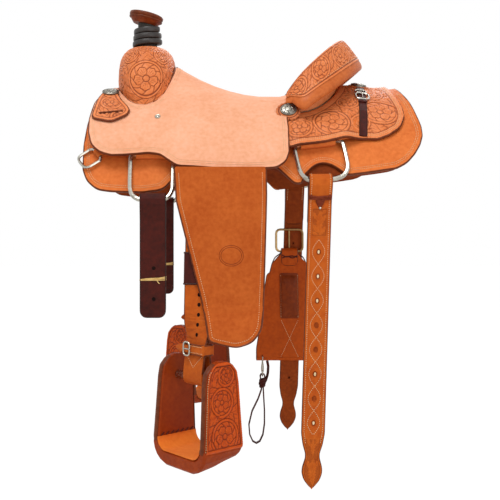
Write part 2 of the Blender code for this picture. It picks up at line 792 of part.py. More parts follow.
def flank_cinch():
    """Flank cinch with its buckle, and the connector strap that hangs on its snap."""
    points = ([(BUCKLE_OUT - 5.9, -352), (BUCKLE_OUT - 5.9, -320)] + arc(BUCKLE_OUT, -316, 5.9, 180, 0, 6)
              + [(CINCH_OUT, -334), (CINCH_OUT, -404), (CINCH_OUT, -461), (CINCH_OUT, -590)]
              + arc(CINCH_OUT - 4.6, -590.5, 4.6, 0, -180, 6)
              + [(CINCH_OUT - 9.2, -567), (CINCH_OUT - 9.2, -370)])
    route = Route(points)
    outer = route.total - (590.5 - 370) - math.pi * 4.6
    top = outer - 590

    def half_at(down):
        return stepped([(310, 21), (320, 22), (348, 44), (404, 58), (461, 67), (567, 84), (600, 84)], down)

    right = [(20, 0), (20, 60)] + [(half_at(d), top + d) for d in (330, 348, 404, 461, 567)]
    right += [(84, outer + math.pi * 4.6 + 22), (66, route.total - 60), (58, route.total - 6), (50, route.total)]
    outline = right + [(-x, s) for x, s in reversed(right)]
    hole_x = SNAP_X - CINCH_X
    rise = 590.5 - 580.5
    holes = [ring_outline(hole_x, outer - rise, 4.6, 10),
             ring_outline(hole_x, outer + math.pi * 4.6 + rise, 4.6, 10)]

    def place(x, s, t):
        point, normal = route.at(s)
        here = point + normal * t
        return Vector((CINCH_X + x, here.x, here.y))

    piece = sheet(outline, place, -2.5, 2.5, holes=holes, cuts_y=route.lengths[1:-1])
    hinge = (CINCH_X, BUCKLE_OUT, -260.0)
    stand("flank_cinch", piece, PLAIN, origin=hinge)

    frame = []
    for x, z, start in ((24, -270, 90), (24, -306, 0), (-24, -306, -90), (-24, -270, -180)):
        frame += [(CINCH_X + a, BUCKLE_OUT, b) for a, b in arc(x, z, 10, start, start - 90, 3)]
    stand("cinch_buckle", swept(frame, round_section(3.0, 7), (0, 1, 0), closed=True), STEEL, origin=hinge)

    half = arc(0, -591, 11, 90, -50, 8) + [(2.9, -606.5), (2.9, -614)] + arc(0, -628.5, 9, 55, -90, 8)
    link = [(SNAP_X, SNAP_OUT + a, b) for a, b in half]
    link += [(SNAP_X, SNAP_OUT - a, b) for a, b in reversed(half[1:-1])]
    ring = (SNAP_X, SNAP_OUT, -591.0)
    stand("connector_snap", swept(link, round_section(1.6, 6), (1, 0, 0), closed=True), STEEL, origin=ring)

    right = [(103, -631), (107, -633), (109, -637.5), (108, -645), (105.2, -655), (104.9, -668), (106, -690),
             (108, -725), (108, -760), (104, -788), (96, -805), (87, -810)]
    left = [(78, -805), (70, -788), (68, -762), (76, -728), (92, -695), (100, -672), (100.8, -655), (98, -645),
            (97, -637.5), (99, -633)]
    loop = [(x, SNAP_OUT, z) for x, z in right + left]
    ribbon = [(-1.6, -5.0), (1.6, -5.0), (1.6, 5.0), (-1.6, 5.0)]
    stand("connector_strap", swept(loop, ribbon, (0, 1, 0), closed=True), DARK, origin=ring)


# Fender and stirrup

def fender_out(z):
    """Distance of the fender's middle from the centreline, by height."""
    hang = stepped([(-480, 279.5), (-280, 279.5), (-230, 278), (-190, 273.5), (-160, 268), (-129, 262)], z)
    return hang + 29 * math.sin(leather_turn(z))


def leather_turn(z):
    """How far the stirrup leather has turned at a height."""
    return TURN * eased((-400 - z) / 80)


def leather_frame(z):
    """Middle of the stirrup leather in (x, out) and its turn, by height."""
    x = stepped([(BOLT_Z, BOLT_X), (-150, -55)], z)
    out = stepped([(BOLT_Z, BOLT_OUT), (-430, 269.5), (-215, 269.5), (-150, 254.5)], z)
    return x, out, leather_turn(z)


def turned(across, outward, z, side):
    """A point of the leather or stirrup, across and outward of its middle at a height."""
    x, out, turn = leather_frame(z)
    return Vector((x + across * math.cos(turn) - outward * math.sin(turn),
                   side * (out + across * math.sin(turn) + outward * math.cos(turn)), z))


def fender_side(side, word):
    """Fender, stirrup leather, sleeve, hobble strap and hanger of one side."""
    hinge = (SWING_X, side * HINGE_OUT, HINGE_Z)
    outline = softened([(-109, -124), (-108, -137), (-104, -193), (-91, -244), (-78, -295), (-65, -346), (-55, -384),
                        (-47, -423), (-40, -469), (-19, -474), (14, -481), (44, -471), (62, -448), (66, -418),
                        (69, -346), (72, -244), (74, -180), (74, -137),
                        (74, -124)], 12.0)
    place = lambda x, z, t: Vector((x, side * (fender_out(z) + t), z))
    piece = sheet(outline, place, -FENDER_THICK / 2, FENDER_THICK / 2, cuts_x=[-55, 0, 50],
                  cuts_y=[-145, -160, -175, -190, -210, -230, -255, -280, -350, -400, -415, -425, -435, -445,
                          -455, -465, -475])
    stand(word + "_fender", piece, ROUGH_OUT, origin=hinge)

    points = [(2.6, -150), (2.6, -430), (2.6, -470), (11.75, -535)] + arc(0, BOLT_Z, 11.75, 0, -180, 8)
    points += [(-11.75, -535), (-2.6, -470), (-2.6, -430), (-2.6, -150)]
    route = Route(points)

    def place(x, s, t):
        point, normal = route.at(s)
        here = point + normal * t
        return turned(x, here.x, here.y, side)

    bends = [s for s in route.lengths[1:-1]]
    for start in (50, 100, 140, 250, 262, 274, 286, 298, 310):
        bends += [start, route.total - start]
    outline = [(-LEATHER_HALF, 0), (LEATHER_HALF, 0), (LEATHER_HALF, route.total), (-LEATHER_HALF, route.total)]
    piece = sheet(outline, place, -LEATHER_THICK / 2, LEATHER_THICK / 2, cuts_x=[0.0], cuts_y=sorted(bends))
    stand(word + "_stirrup_leather", piece, PLAIN, origin=hinge)

    ring_piece(word + "_leather_sleeve", side, 29.3, 5.2, 31.5, 6.9, (-295, -327, -360), STEEL, hinge)
    ring_piece(word + "_hobble_strap", side, 29.6, 12.0, 32.6, 15.0, (-478, -498), PLAIN, hinge)

    outline = softened([(SWING_X - 22, side * 250), (SWING_X + 22, side * 250), (SWING_X + 22, side * 296),
                        (SWING_X - 22, side * 296)], 4)
    piece = sheet(outline, on_form, 8.0, 12.5, cuts_y=[side * 265, side * 280])
    stand(word + "_leather_hanger", piece, PLAIN, origin=hinge)


def ring_piece(name, side, inner_x, inner_y, outer_x, outer_y, heights, look, origin):
    """A closed band round the stirrup leather."""
    def corners(half_x, half_y, cut):
        return [(half_x, -half_y + cut), (half_x, half_y - cut), (half_x - cut, half_y), (-half_x + cut, half_y),
                (-half_x, half_y - cut), (-half_x, -half_y + cut), (-half_x + cut, -half_y),
                (half_x - cut, -half_y)]

    outer = [[turned(a, b, z, side) for a, b in corners(outer_x, outer_y, 1.4)] for z in heights]
    inner = [[turned(a, b, z, side) for a, b in corners(inner_x, inner_y, 0.1)] for z in heights]
    stand(name, lofted(outer + list(reversed(inner)), closed=True), look, origin=origin)


def stirrup(side, word):
    """Leather-covered stirrup with a wide tread, and the sleeve over the bolt that it hangs on."""
    axis = (BOLT_X, side * BOLT_OUT, BOLT_Z)
    c, s = math.cos(TURN), math.sin(TURN)

    def put(across, front, z):
        return Vector((BOLT_X + across * c - front * s, side * (BOLT_OUT + across * s + front * c), z))

    sides = [(-504.5, 6, 61), (-507, 17, 61), (-514, 28, 61.2), (-526, 38, 61.6), (-547, 42, 62),
             (-610, 46, 64), (-668, 50, 66)]
    path = [(a, z, d, 0.0, 0.0) for z, d, a in sides]
    for k in range(1, 6):
        angle = math.radians(90 * k / 5)
        path.append((66 - 24 * (1 - math.cos(angle)), -668 - 24 * math.sin(angle), 51, angle, k / 5))
    path.append((15, -692, 51.5, math.pi / 2, 1.0))
    path += [(-a, z, d, math.pi - angle, share) for a, z, d, angle, share in reversed(path)]
    rings = []
    for a, z, d, angle, share in path:
        normal = Vector((math.cos(angle), -math.sin(angle)))
        ring = []
        for front, thick, tread, sunk in ((-1.0, 4, 2, 2), (-0.9, 0, 0, 0), (0.9, 0, 0, 0), (1.0, 4, 4, 4),
                                          (1.0, 11, 23, 0), (0.9, 14, 28, 0), (0.1, 14, 22, 0),
                                          (-0.9, 14, 9, 0), (-1.0, 11, 7, 0)):
            n = mixed(thick, tread, share)
            ring.append(put(a + normal.x * n, front * d, z + normal.y * n))
        rings.append(ring)
    stand(word + "_stirrup", lofted(rings), TOOLED, origin=axis)
    rings = []
    for across in (-61.3, 61.3):
        rings.append([put(across, BOLT_R * math.cos(math.tau * k / 14), BOLT_Z + BOLT_R * math.sin(math.tau * k / 14))
                      for k in range(14)])
    stand(word + "_stirrup_bolt", lofted(rings), STEEL, origin=axis)


# Trim

def carriers():
    """Slotted leathers at the front that hold the strap ends."""
    for word, side in SIDES:
        outline = softened([(-264, 88), (-242, 88), (-238, 112), (-228, 138), (-214, 160), (-208, 174),
                            (-213, 187), (-243, 206), (-284, 196), (-276, 130)], 8.0)
        slot = [(-270, 181), (-222, 174), (-219, 177), (-222, 180), (-270, 187), (-273, 184)]
        piece = sheet(signed(outline, side), on_seat, SEAT_TOP + GAP, SEAT_TOP + GAP + 4,
                      holes=[signed(slot, side)], cuts_x=[-262, -244, -226],
                      cuts_y=[side * d for d in (112, 136, 160, 192)])
        stand(word + "_latigo_carrier", piece, TOOLED)


def concho(name, place, x, drop, h, side, long, wide):
    """A domed oval concho lying on a layer."""
    here = place(x, side * drop, h)
    rearward = (place(x + 4, side * drop, h) - place(x - 4, side * drop, h)).normalized()
    down = (place(x, side * (drop + 4), h) - place(x, side * (drop - 4), h)).normalized()
    outward = rearward.cross(down).normalized() * -side
    if outward.y * side < 0:
        outward = -outward
    rings = []
    for share, rise in ((0.94, 0.0), (1.0, 0.8), (0.97, 2.2), (0.8, 4.2), (0.5, 6.0), (0.16, 6.8)):
        ring = []
        for k in range(14):
            turn = math.tau * k / 14
            ring.append(here + rearward * (long / 2 * share * math.cos(turn))
                        + down * (wide / 2 * share * math.sin(turn)) + outward * rise)
        rings.append(ring)
    stand(name, lofted(rings), STEEL, origin=here)


def trim():
    """Conchos and the straps that lie over the rear jockeys."""
    for word, side in SIDES:
        concho(word + "_front_concho", on_seat, -253, 104, SEAT_TOP + 5.2, side, 36, 30)
        concho(word + "_seat_concho", on_seat, 129, 172, SEAT_TOP + 4.1, side, 36, 30)
        start = Vector((304, 44))
        end = Vector((282.5, 229))
        along = (end - start).normalized()
        across = Vector((along.y, -along.x))

        def place(a, s, t):
            spot = start + across * a + along * s
            return on_form(spot.x, side * spot.y, jockey_high(spot.x, spot.y) + 1.0 + t)

        length = (end - start).length
        outline = [(-7.7, 0), (7.7, 0), (7.7, length), (-7.7, length)]
        piece = sheet(outline, place, 0.2, 3.0, cuts_x=[0.0], cuts_y=spaced(0, length, 15))
        stand(word + "_rear_strap", piece, DARK)
        over = lambda x, drop, h: on_form(x, drop, jockey_high(x, drop) + h)
        concho(word + "_rear_concho", over, 303, 25, 2.2, side, 36, 30)


clear_scene()
skirts()
tree_bars()
seat()
rear_jockeys()
cantle()
swell()
horn()
rigging()
dees()
cinch_straps()
flank_cinch()
for side_word, side_sign in SIDES:
    fender_side(side_sign, side_word)
    stirrup(side_sign, side_word)
carriers()
trim()
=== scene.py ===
import bmesh
import bpy
import math
import numpy as np
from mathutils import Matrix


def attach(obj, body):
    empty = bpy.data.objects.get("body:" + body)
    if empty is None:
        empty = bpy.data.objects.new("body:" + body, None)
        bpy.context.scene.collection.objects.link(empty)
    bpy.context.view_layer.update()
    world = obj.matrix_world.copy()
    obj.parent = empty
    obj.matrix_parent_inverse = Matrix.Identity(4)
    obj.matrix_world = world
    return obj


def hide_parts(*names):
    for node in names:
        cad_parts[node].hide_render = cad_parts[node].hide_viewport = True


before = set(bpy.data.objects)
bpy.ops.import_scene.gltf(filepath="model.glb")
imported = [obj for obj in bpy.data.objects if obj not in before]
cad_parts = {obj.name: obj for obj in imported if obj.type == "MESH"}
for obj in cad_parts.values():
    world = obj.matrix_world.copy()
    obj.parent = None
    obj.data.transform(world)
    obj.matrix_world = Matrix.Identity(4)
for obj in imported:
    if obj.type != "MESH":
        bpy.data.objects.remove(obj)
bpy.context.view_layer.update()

# The view: level, from the near side, with the saddle up and left of the picture's middle. A pale floor lies
# under the hanging straps, and soft lamps light the leather from above, from the front and from behind.

bpy.context.scene.view_settings.view_transform = "Standard"


def linear(colour):
    """sRGB hex to linear values."""
    channels = [int(colour[i:i + 2], 16) / 255 for i in (0, 2, 4)]
    return (*[c / 12.92 if c <= 0.04045 else ((c + 0.055) / 1.055) ** 2.4 for c in channels], 1.0)


def node(tree, kind, inputs=None, **settings):
    """Adds a node, sets its settings, and sets or links its inputs: a socket is linked, a value is set."""
    made = tree.nodes.new(kind)
    for key, value in settings.items():
        setattr(made, key, value)
    for key, value in (inputs or {}).items():
        if isinstance(value, bpy.types.NodeSocket):
            tree.links.new(value, made.inputs[key])
        else:
            made.inputs[key].default_value = value
    return made


camera = bpy.data.objects.new("camera", bpy.data.cameras.new("camera"))
bpy.context.scene.collection.objects.link(camera)
bpy.context.scene.camera = camera
camera.location = (-0.058, -2.0, -0.215)
camera.rotation_euler = (math.pi / 2, 0.0, 0.0)
camera.data.sensor_width = 36.0
camera.data.lens = 62.3
camera.data.shift_x = 0.1
camera.data.shift_y = -0.076

for name, place, aim, size, power in (("key_lamp", (-0.8, -1.9, 2.8), (0.0, 0.0, -0.2), 1.6, 66.0),
                                      ("fill_lamp", (1.8, -2.8, 0.4), (0.0, 0.0, -0.4), 2.0, 20.0),
                                      ("back_lamp", (0.5, 2.4, 1.8), (0.0, 0.0, -0.1), 1.8, 30.0)):
    lamp = bpy.data.objects.new(name, bpy.data.lights.new(name, "AREA"))
    lamp.data.size = size
    lamp.data.energy = power
    lamp.location = place
    way = np.array(aim) - np.array(place)
    lamp.rotation_euler = (math.acos(-way[2] / np.linalg.norm(way)), 0.0,
                           math.atan2(way[1], way[0]) - math.pi / 2)
    bpy.context.scene.collection.objects.link(lamp)

world = bpy.data.worlds.new("studio")
bpy.context.scene.world = world
world.use_nodes = True
tree = world.node_tree
tree.nodes.clear()
rays = node(tree, "ShaderNodeLightPath")
seen = node(tree, "ShaderNodeMath", {0: rays.outputs["Is Camera Ray"], 1: rays.outputs["Is Glossy Ray"]},
            operation="MAXIMUM")
seen = node(tree, "ShaderNodeMath", {0: seen.outputs[0], 1: rays.outputs["Is Transmission Ray"]},
            operation="MAXIMUM")
shown = node(tree, "ShaderNodeBackground", {"Color": (1.0, 1.0, 1.0, 1.0), "Strength": 1.0})
light = node(tree, "ShaderNodeBackground", {"Color": (1.0, 0.985, 0.96, 1.0), "Strength": 0.5})
mix = node(tree, "ShaderNodeMixShader", {0: seen.outputs[0], 1: light.outputs[0], 2: shown.outputs[0]})
node(tree, "ShaderNodeOutputWorld", {"Surface": mix.outputs[0]})

floor_mesh = bpy.data.meshes.new("floor")
floor_mesh.from_pydata([(-8, -8, -0.85), (8, -8, -0.85), (8, 8, -0.85), (-8, 8, -0.85)], [], [(0, 1, 2, 3)])
floor = bpy.data.objects.new("floor", floor_mesh)
bpy.context.scene.collection.objects.link(floor)
paper = bpy.data.materials.new("white_paper")
paper.use_nodes = True
tree = paper.node_tree
tree.nodes.clear()
rays = node(tree, "ShaderNodeLightPath")
matt = node(tree, "ShaderNodeBsdfDiffuse", {"Color": linear("F2F0EC")})
glow = node(tree, "ShaderNodeEmission", {"Color": (1.0, 1.0, 1.0, 1.0), "Strength": 1.07})
share = node(tree, "ShaderNodeMath", {0: rays.outputs["Is Camera Ray"], 1: 0.93}, operation="MULTIPLY")
mix = node(tree, "ShaderNodeMixShader", {0: share.outputs[0], 1: matt.outputs[0], 2: glow.outputs[0]})
node(tree, "ShaderNodeOutputMaterial", {"Surface": mix.outputs[0]})
floor_mesh.materials.append(paper)

# Skirts: each is one piece of 6 mm vegetable-tanned skirting leather, cut to shape, with a double row of cream
# stitches inside its edge and the edge itself rounded and burnished dark. A felt lining lies under it.

SIDES = (("near", -1), ("off", 1))

# The form under the leathers, in millimetres: the radius of each side's arc, how far its centre lies past the
# centreline and below it, and the parabola by which the skirts climb behind the cantle.
ARC, PAST, BELOW = 318.0, 66.0, 261.0
CLIMB, CLIMB_FROM, CLIMB_OVER = 20, 150, 240
SEAT_LAYER = 30.0


def floats(*values):
    """Numbers and arrays as float arrays of one shape."""
    return np.broadcast_arrays(*[np.asarray(value, float) for value in values])


def climb(x):
    """How far the form rises behind the cantle: CLIMB ((x - CLIMB_FROM) / CLIMB_OVER) ** 2."""
    return CLIMB * (np.maximum(0, x - CLIMB_FROM) / CLIMB_OVER) ** 2


def on_form(x, drop, h):
    """Points in metres of the layer h above the skirts: |y| = (ARC + h) sin(a) - PAST and
    z = (ARC + h) cos(a) - BELOW + climb, with a = asin(PAST / (ARC + h)) + |drop| / ARC."""
    x, drop, h = floats(x, drop, h)
    out = ARC + h
    angle = np.arcsin(PAST / out) + np.abs(drop) / ARC
    y = (out * np.sin(angle) - PAST) * np.where(drop < 0, -1, 1)
    z = out * np.cos(angle) - BELOW + climb(x)
    return np.stack([x, y, z], -1) * 0.001


def even(points, step=4.0, closed=False, cut=9.0):
    """A line through the points, read at even steps of its length and eased over two steps. Each corner that
    turns by more than 22 degrees is first cut by up to cut millimetres, at most 0.3 of its shorter side."""
    p = np.asarray(points, float)
    rounded = []
    for i, here in enumerate(p):
        before, after = p[i - 1] - here, p[(i + 1) % len(p)] - here
        far = max(1e-9, float(np.linalg.norm(before))), max(1e-9, float(np.linalg.norm(after)))
        straight = np.dot(before, after) < -math.cos(math.radians(22)) * far[0] * far[1]
        if straight or (not closed and i in (0, len(p) - 1)):
            rounded.append(here)
            continue
        reach = min(cut, 0.3 * far[0], 0.3 * far[1])
        one, two = here + before / far[0] * reach, here + after / far[1] * reach
        rounded += [one, 0.25 * one + 0.25 * two + 0.5 * here, two]
    p = np.array(rounded + rounded[:1] if closed else rounded)
    length = np.concatenate([[0], np.cumsum(np.linalg.norm(np.diff(p, axis=0), axis=1))])
    count = max(3, int(round(length[-1] / step)) + (0 if closed else 1))
    reads = np.linspace(0, length[-1], count, endpoint=not closed)
    p = np.stack([np.interp(reads, length, p[:, k]) for k in range(p.shape[1])], -1)
    for _ in range(2):
        mean = 0.25 * np.roll(p, 1, 0) + 0.5 * p + 0.25 * np.roll(p, -1, 0)
        p = mean if closed else np.vstack([p[:1], mean[1:-1], p[-1:]])
    return p


def inset(line, amount):
    """A closed flat outline moved inward by amount along its normals, then evened."""
    ahead, behind = np.roll(line, -1, 0), np.roll(line, 1, 0)
    area = 0.5 * np.sum(line[:, 0] * ahead[:, 1] - ahead[:, 0] * line[:, 1])
    way = ahead - behind
    normal = np.stack([-way[:, 1], way[:, 0]], -1) / (np.linalg.norm(way, axis=1)[:, None] + 1e-9)
    moved = line + normal * amount * np.sign(area)
    for _ in range(3):
        moved = 0.25 * np.roll(moved, 1, 0) + 0.5 * moved + 0.25 * np.roll(moved, -1, 0)
    return moved


def opened(row):
    """What is left of a closed line, turned so that it starts after its widest gap."""
    gap = np.argmax(np.linalg.norm(np.roll(row, -1, 0) - row, axis=1)) + 1
    return np.roll(row, -gap, 0)


def grid_faces(rows, columns, wrap_rows=False, wrap_columns=False):
    """Quads of a grid of points numbered row by row; either way may close on itself."""
    i = np.arange(rows if wrap_rows else rows - 1)[:, None]
    j = np.arange(columns if wrap_columns else columns - 1)[None, :]
    ahead_i, ahead_j = (i + 1) % rows, (j + 1) % columns
    corners = [i * columns + j, i * columns + ahead_j, ahead_i * columns + ahead_j, ahead_i * columns + j]
    return np.stack(np.broadcast_arrays(*corners), -1).reshape(-1, 4)


def tube(path, up, wide, high, sides=8, closed=True):
    """A rod along a path in metres: point + side (wide cos t) + up (high sin t), t once round; flat ends."""
    path = np.asarray(path, float)
    way = np.roll(path, -1, 0) - np.roll(path, 1, 0) if closed else np.gradient(path, axis=0)
    way /= np.linalg.norm(way, axis=1)[:, None] + 1e-12
    up = np.broadcast_to(np.asarray(up, float), path.shape)
    side = np.cross(way, up)
    side /= np.linalg.norm(side, axis=1)[:, None] + 1e-12
    up = np.cross(side, way)
    t = np.arange(sides) * 2 * np.pi / sides
    wide = np.broadcast_to(np.asarray(wide, float), len(path))
    high = np.broadcast_to(np.asarray(high, float), len(path))
    verts = (path[:, None] + side[:, None] * (np.cos(t) * wide[:, None])[..., None]
             + up[:, None] * (np.sin(t) * high[:, None])[..., None])
    faces = grid_faces(len(path), sides, closed, True).tolist()
    if not closed:
        faces += [list(range(sides)), list(range((len(path) - 1) * sides, len(path) * sides))]
    return verts.reshape(-1, 3), faces


def joined(parts):
    """Several (points, faces) as one."""
    points, faces, first = [], [], 0
    for v, f in parts:
        points.append(np.asarray(v).reshape(-1, 3))
        faces += [[k + first for k in face] for face in (f.tolist() if isinstance(f, np.ndarray) else f)]
        first += len(points[-1])
    return np.vstack(points), faces


def make(name, points, faces, material, body, slot, cut=None, turn_out=True, smooth=True):
    """Puts a mesh in the scene, riding on a body; cut is the depth of carving at each point, from 0 to 1."""
    mesh = bpy.data.meshes.new(name)
    faces = faces.tolist() if isinstance(faces, np.ndarray) else faces
    mesh.from_pydata(np.asarray(points).reshape(-1, 3).tolist(), [], faces)
    if turn_out:
        work = bmesh.new()
        work.from_mesh(mesh)
        bmesh.ops.recalc_face_normals(work, faces=work.faces)
        work.to_mesh(mesh)
        work.free()
    if smooth:
        mesh.shade_smooth()
        mesh.set_sharp_from_angle(angle=math.radians(50))
    if cut is not None:
        layer = mesh.attributes.new("cut", "FLOAT", "POINT")
        layer.data.foreach_set("value", np.asarray(cut, np.float32).ravel())
    mesh.materials.append(material)
    piece = bpy.data.objects.new(name, mesh)
    bpy.context.scene.collection.objects.link(piece)
    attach(piece, body)
    return piece


def stitches(centres, ways, ups, length=2.7, width=1.4, height=0.8):
    """One thread at each centre: an eight-point spindle lying along the seam, its sizes in millimetres."""
    shape = np.array([(-0.5, 0, 0), (-0.28, 0.5, 0), (-0.28, 0, 1), (-0.28, -0.5, 0), (0.28, 0.5, 0),
                      (0.28, 0, 1),
                      (0.28, -0.5, 0), (0.5, 0, 0)])
    faces = [(0, 2, 1), (0, 3, 2), (1, 2, 5, 4), (2, 3, 6, 5), (4, 5, 7), (5, 6, 7), (0, 1, 4, 7, 6, 3)]
    across = np.cross(ups, ways)
    points = (centres[:, None] + ways[:, None] * (shape[:, 0] * length * 0.001)[None, :, None]
              + across[:, None] * (shape[:, 1] * width * 0.001)[None, :, None]
              + ups[:, None] * (shape[:, 2] * height * 0.001)[None, :, None])
    return points.reshape(-1, 3), [[k + 8 * i for k in face] for i in range(len(centres)) for face in faces]


def seam(place, line, h, pitch=4.4, closed=False, **sizes):
    """Stitches every pitch millimetres of a flat line; place(x, drop, h) puts them on the face h."""
    line = np.asarray(line, float)
    line = np.vstack([line, line[:1]]) if closed else line
    length = np.concatenate([[0], np.cumsum(np.linalg.norm(np.diff(line, axis=0), axis=1))])
    reads = np.arange(pitch / 2, length[-1], pitch)
    spot, ahead = [np.stack([np.interp(reads + d, length, line[:, k]) for k in (0, 1)], -1) for d in (0, 0.4)]
    face = h(spot[:, 0], spot[:, 1]) if callable(h) else h
    here, above = place(spot[:, 0], spot[:, 1], face), place(spot[:, 0], spot[:, 1], face + 1.0)
    way = place(ahead[:, 0], ahead[:, 1], face) - here
    way /= np.linalg.norm(way, axis=1)[:, None] + 1e-12
    up = above - here
    up -= way * np.sum(up * way, axis=1)[:, None]
    up /= np.linalg.norm(up, axis=1)[:, None] + 1e-12
    return stitches(here, way, up, **sizes)


def sewn(name, rows, body):
    """Rows of stitches as one piece of thread."""
    make(name, *joined(rows), thread, body, "plain_leather", smooth=False)


def rim(place, line, low, high, closed=True, wide=2.0, proud=0.3):
    """The rounded edge of a leather: an oval rod along its outline, as high as the leather is thick."""
    line = np.asarray(line, float)
    low = low(line[:, 0], line[:, 1]) if callable(low) else np.full(len(line), float(low))
    high = high(line[:, 0], line[:, 1]) if callable(high) else np.full(len(line), float(high))
    here = place(line[:, 0], line[:, 1], (low + high) / 2)
    up = place(line[:, 0], line[:, 1], (low + high) / 2 + 1.0) - here
    up /= np.linalg.norm(up, axis=1)[:, None]
    return tube(here, up, wide * 0.001, ((high - low) / 2 + proud) * 0.001, 8, closed)


def dressed(name, look):
    """Gives a CAD node its finish."""
    for index in range(max(1, len(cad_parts[name].material_slots))):
        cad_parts[name].material_slots[index].material = look


def hide(name, light, dark, rough, nap=0.0, shine=0.0, grain=0.7, lift=0.2, cut=None):
    """Leather: its colour drifts between two tones over about 60 mm and 8 mm, its grain or nap lifts the face
    over grain millimetres by lift millimetres, and carved ground is tinted by the attribute cut."""
    material = bpy.data.materials.new(name)
    material.use_nodes = True
    tree = material.node_tree
    shader = tree.nodes["Principled BSDF"]
    where = node(tree, "ShaderNodeTexCoord").outputs["Object"]
    wide = node(tree, "ShaderNodeTexNoise",
                {"Vector": where, "Scale": 15.0, "Detail": 4.0, "Roughness": 0.62})
    small = node(tree, "ShaderNodeTexNoise", {"Vector": where, "Scale": 125.0, "Detail": 3.0})
    fine = node(tree, "ShaderNodeTexNoise", {"Vector": where, "Scale": 1000.0 / grain, "Detail": 2.0})
    drift = node(tree, "ShaderNodeMath", {0: wide.outputs[0], 1: small.outputs[0]}, operation="ADD")
    drift = node(tree, "ShaderNodeMapRange", {"Value": drift.outputs[0], "From Min": 0.7, "From Max": 1.3})
    tone = node(tree, "ShaderNodeMix", {0: drift.outputs[0], 6: linear(dark), 7: linear(light)},
                data_type="RGBA")
    tone = tone.outputs[2]
    if cut:
        deep = node(tree, "ShaderNodeAttribute", attribute_name="cut").outputs["Fac"]
        tone = node(tree, "ShaderNodeMix", {0: deep, 6: tone, 7: linear(cut)}, data_type="RGBA").outputs[2]
    bump = node(tree, "ShaderNodeBump", {"Height": fine.outputs[0], "Strength": 0.6,
                                         "Distance": lift * 0.001})
    tree.links.new(tone, shader.inputs["Base Color"])
    tree.links.new(bump.outputs[0], shader.inputs["Normal"])
    shader.inputs["Roughness"].default_value = rough
    shader.inputs["Sheen Weight"].default_value = nap
    shader.inputs["Sheen Roughness"].default_value = 0.55
    shader.inputs["Coat Weight"].default_value = shine
    shader.inputs["Coat Roughness"].default_value = 0.3
    shader.inputs["IOR"].default_value = 1.45
    shader.inputs["Specular IOR Level"].default_value = 0.14
    return material


# Oiled skirting leather keeps a soft sheen; its burnished edge is dark and waxed smooth.
skirting = hide("oiled_skirting_leather", "E77F3D", "D2692C", 0.6, nap=0.03)
burnished = hide("burnished_leather_edge", "7A3A1A", "5A260F", 0.45, shine=0.15)
felt = hide("pressed_wool_felt", "8E3C10", "702C0A", 0.95, nap=0.1, grain=2.0, lift=0.6)


def toned(name, dark, light, scale, rough, metallic=1.0, detail=3.0):
    """A finish whose colour drifts between two tones, 1 / scale metres apart; rough is one value, or the two
    that go with the tones."""
    material = bpy.data.materials.new(name)
    material.use_nodes = True
    tree = material.node_tree
    shader = tree.nodes["Principled BSDF"]
    where = node(tree, "ShaderNodeTexCoord").outputs["Object"]
    drift = node(tree, "ShaderNodeTexNoise", {"Vector": where, "Scale": scale, "Detail": detail}).outputs[0]
    tone = node(tree, "ShaderNodeMix", {0: drift, 6: linear(dark), 7: linear(light)}, data_type="RGBA")
    tree.links.new(tone.outputs[2], shader.inputs["Base Color"])
    shader.inputs["Metallic"].default_value = metallic
    if isinstance(rough, tuple):
        gloss = node(tree, "ShaderNodeMapRange", {"Value": drift, "To Min": rough[0], "To Max": rough[1]})
        tree.links.new(gloss.outputs[0], shader.inputs["Roughness"])
    else:
        shader.inputs["Roughness"].default_value = rough
    return material


# Waxed linen thread, cream, its twist too fine to see apart: it only breaks up the colour.
thread = toned("waxed_cream_thread", "D8AE80", "EDCDA0", 900.0, 0.75, metallic=0.0, detail=2.0)

DEE_ARC = [(160 + 69 * k - 7 * k * (1 - k), 302 - 6 * k - 80 * k * (1 - k)) for k in np.linspace(0, 1, 9)]
SKIRT = [(-276, 60), (-285, 95), (-297, 162), (-300, 234), (-298, 294), (-289, 319), (-268, 338), (-239, 342),
         (-176, 344), (-134, 338), (-113, 314), (-95, 290), (95, 285), (105, 292), (135, 324), (148, 325),
         *DEE_ARC, (243, 309), (306, 306), (345, 305), (367, 296), (385, 278), (398, 258), (406, 236),
         (407, 211), (403, 173), (399, 124), (393, 70), (390, 2)]
for word, side in SIDES:
    dressed(word + "_skirt", skirting)
    dressed(word + "_skirt_lining", felt)
    place = lambda x, d, h, s=side: on_form(x, d * s, h)
    line = even(SKIRT, 3.0, cut=12.0)
    make(word + "_skirt_edge", *rim(place, line, -6.0, 0.0, closed=False), burnished, "saddle",
         "plain_leather")
    rows = []
    for amount in (7.5, 11.5):
        row = inset(even(SKIRT + [(300, 2), (200, 60), (-200, 60)], 3.0, True, 12.0), amount)
        row = row[(row[:, 1] > 66) | (row[:, 0] > 330)]
        row = opened(row)
        row = row[(row[:, 1] > 66) & ((row[:, 0] > 245) | (row[:, 1] > 75))]
        rows.append(seam(place, opened(row), 0.1))
    sewn(word + "_skirt_stitches", rows, "saddle")

# Rigging: stainless dees bent from 9.5 mm rod and welded, polished, each held by a leather folded round its bar;
# in front a smaller dee for the breast collar on its own tab.

# Polished stainless steel: almost a mirror, with drawing marks too fine to see apart.
steel = toned("polished_stainless_steel", "A5A196", "CBC8BD", 140.0, (0.16, 0.34))
for word, side in SIDES:
    for kind in ("_front_dee", "_rear_dee", "_breast_dee", "_stirrup_bolt"):
        dressed(word + kind, steel)
    dressed(word + "_rigging_leather", skirting)
    dressed(word + "_breast_tab", skirting)

# Seat: one big piece of rough-out leather, flesh side out, from the swell's collar to the cantle, with the front
# and side jockeys cut in one with it. Its edge is burnished; two rows of stitches run inside it.


def eased(share):
    """Share held between 0 and 1 and eased at both ends."""
    share = np.clip(share, 0, 1)
    return share * share * (3 - 2 * share)


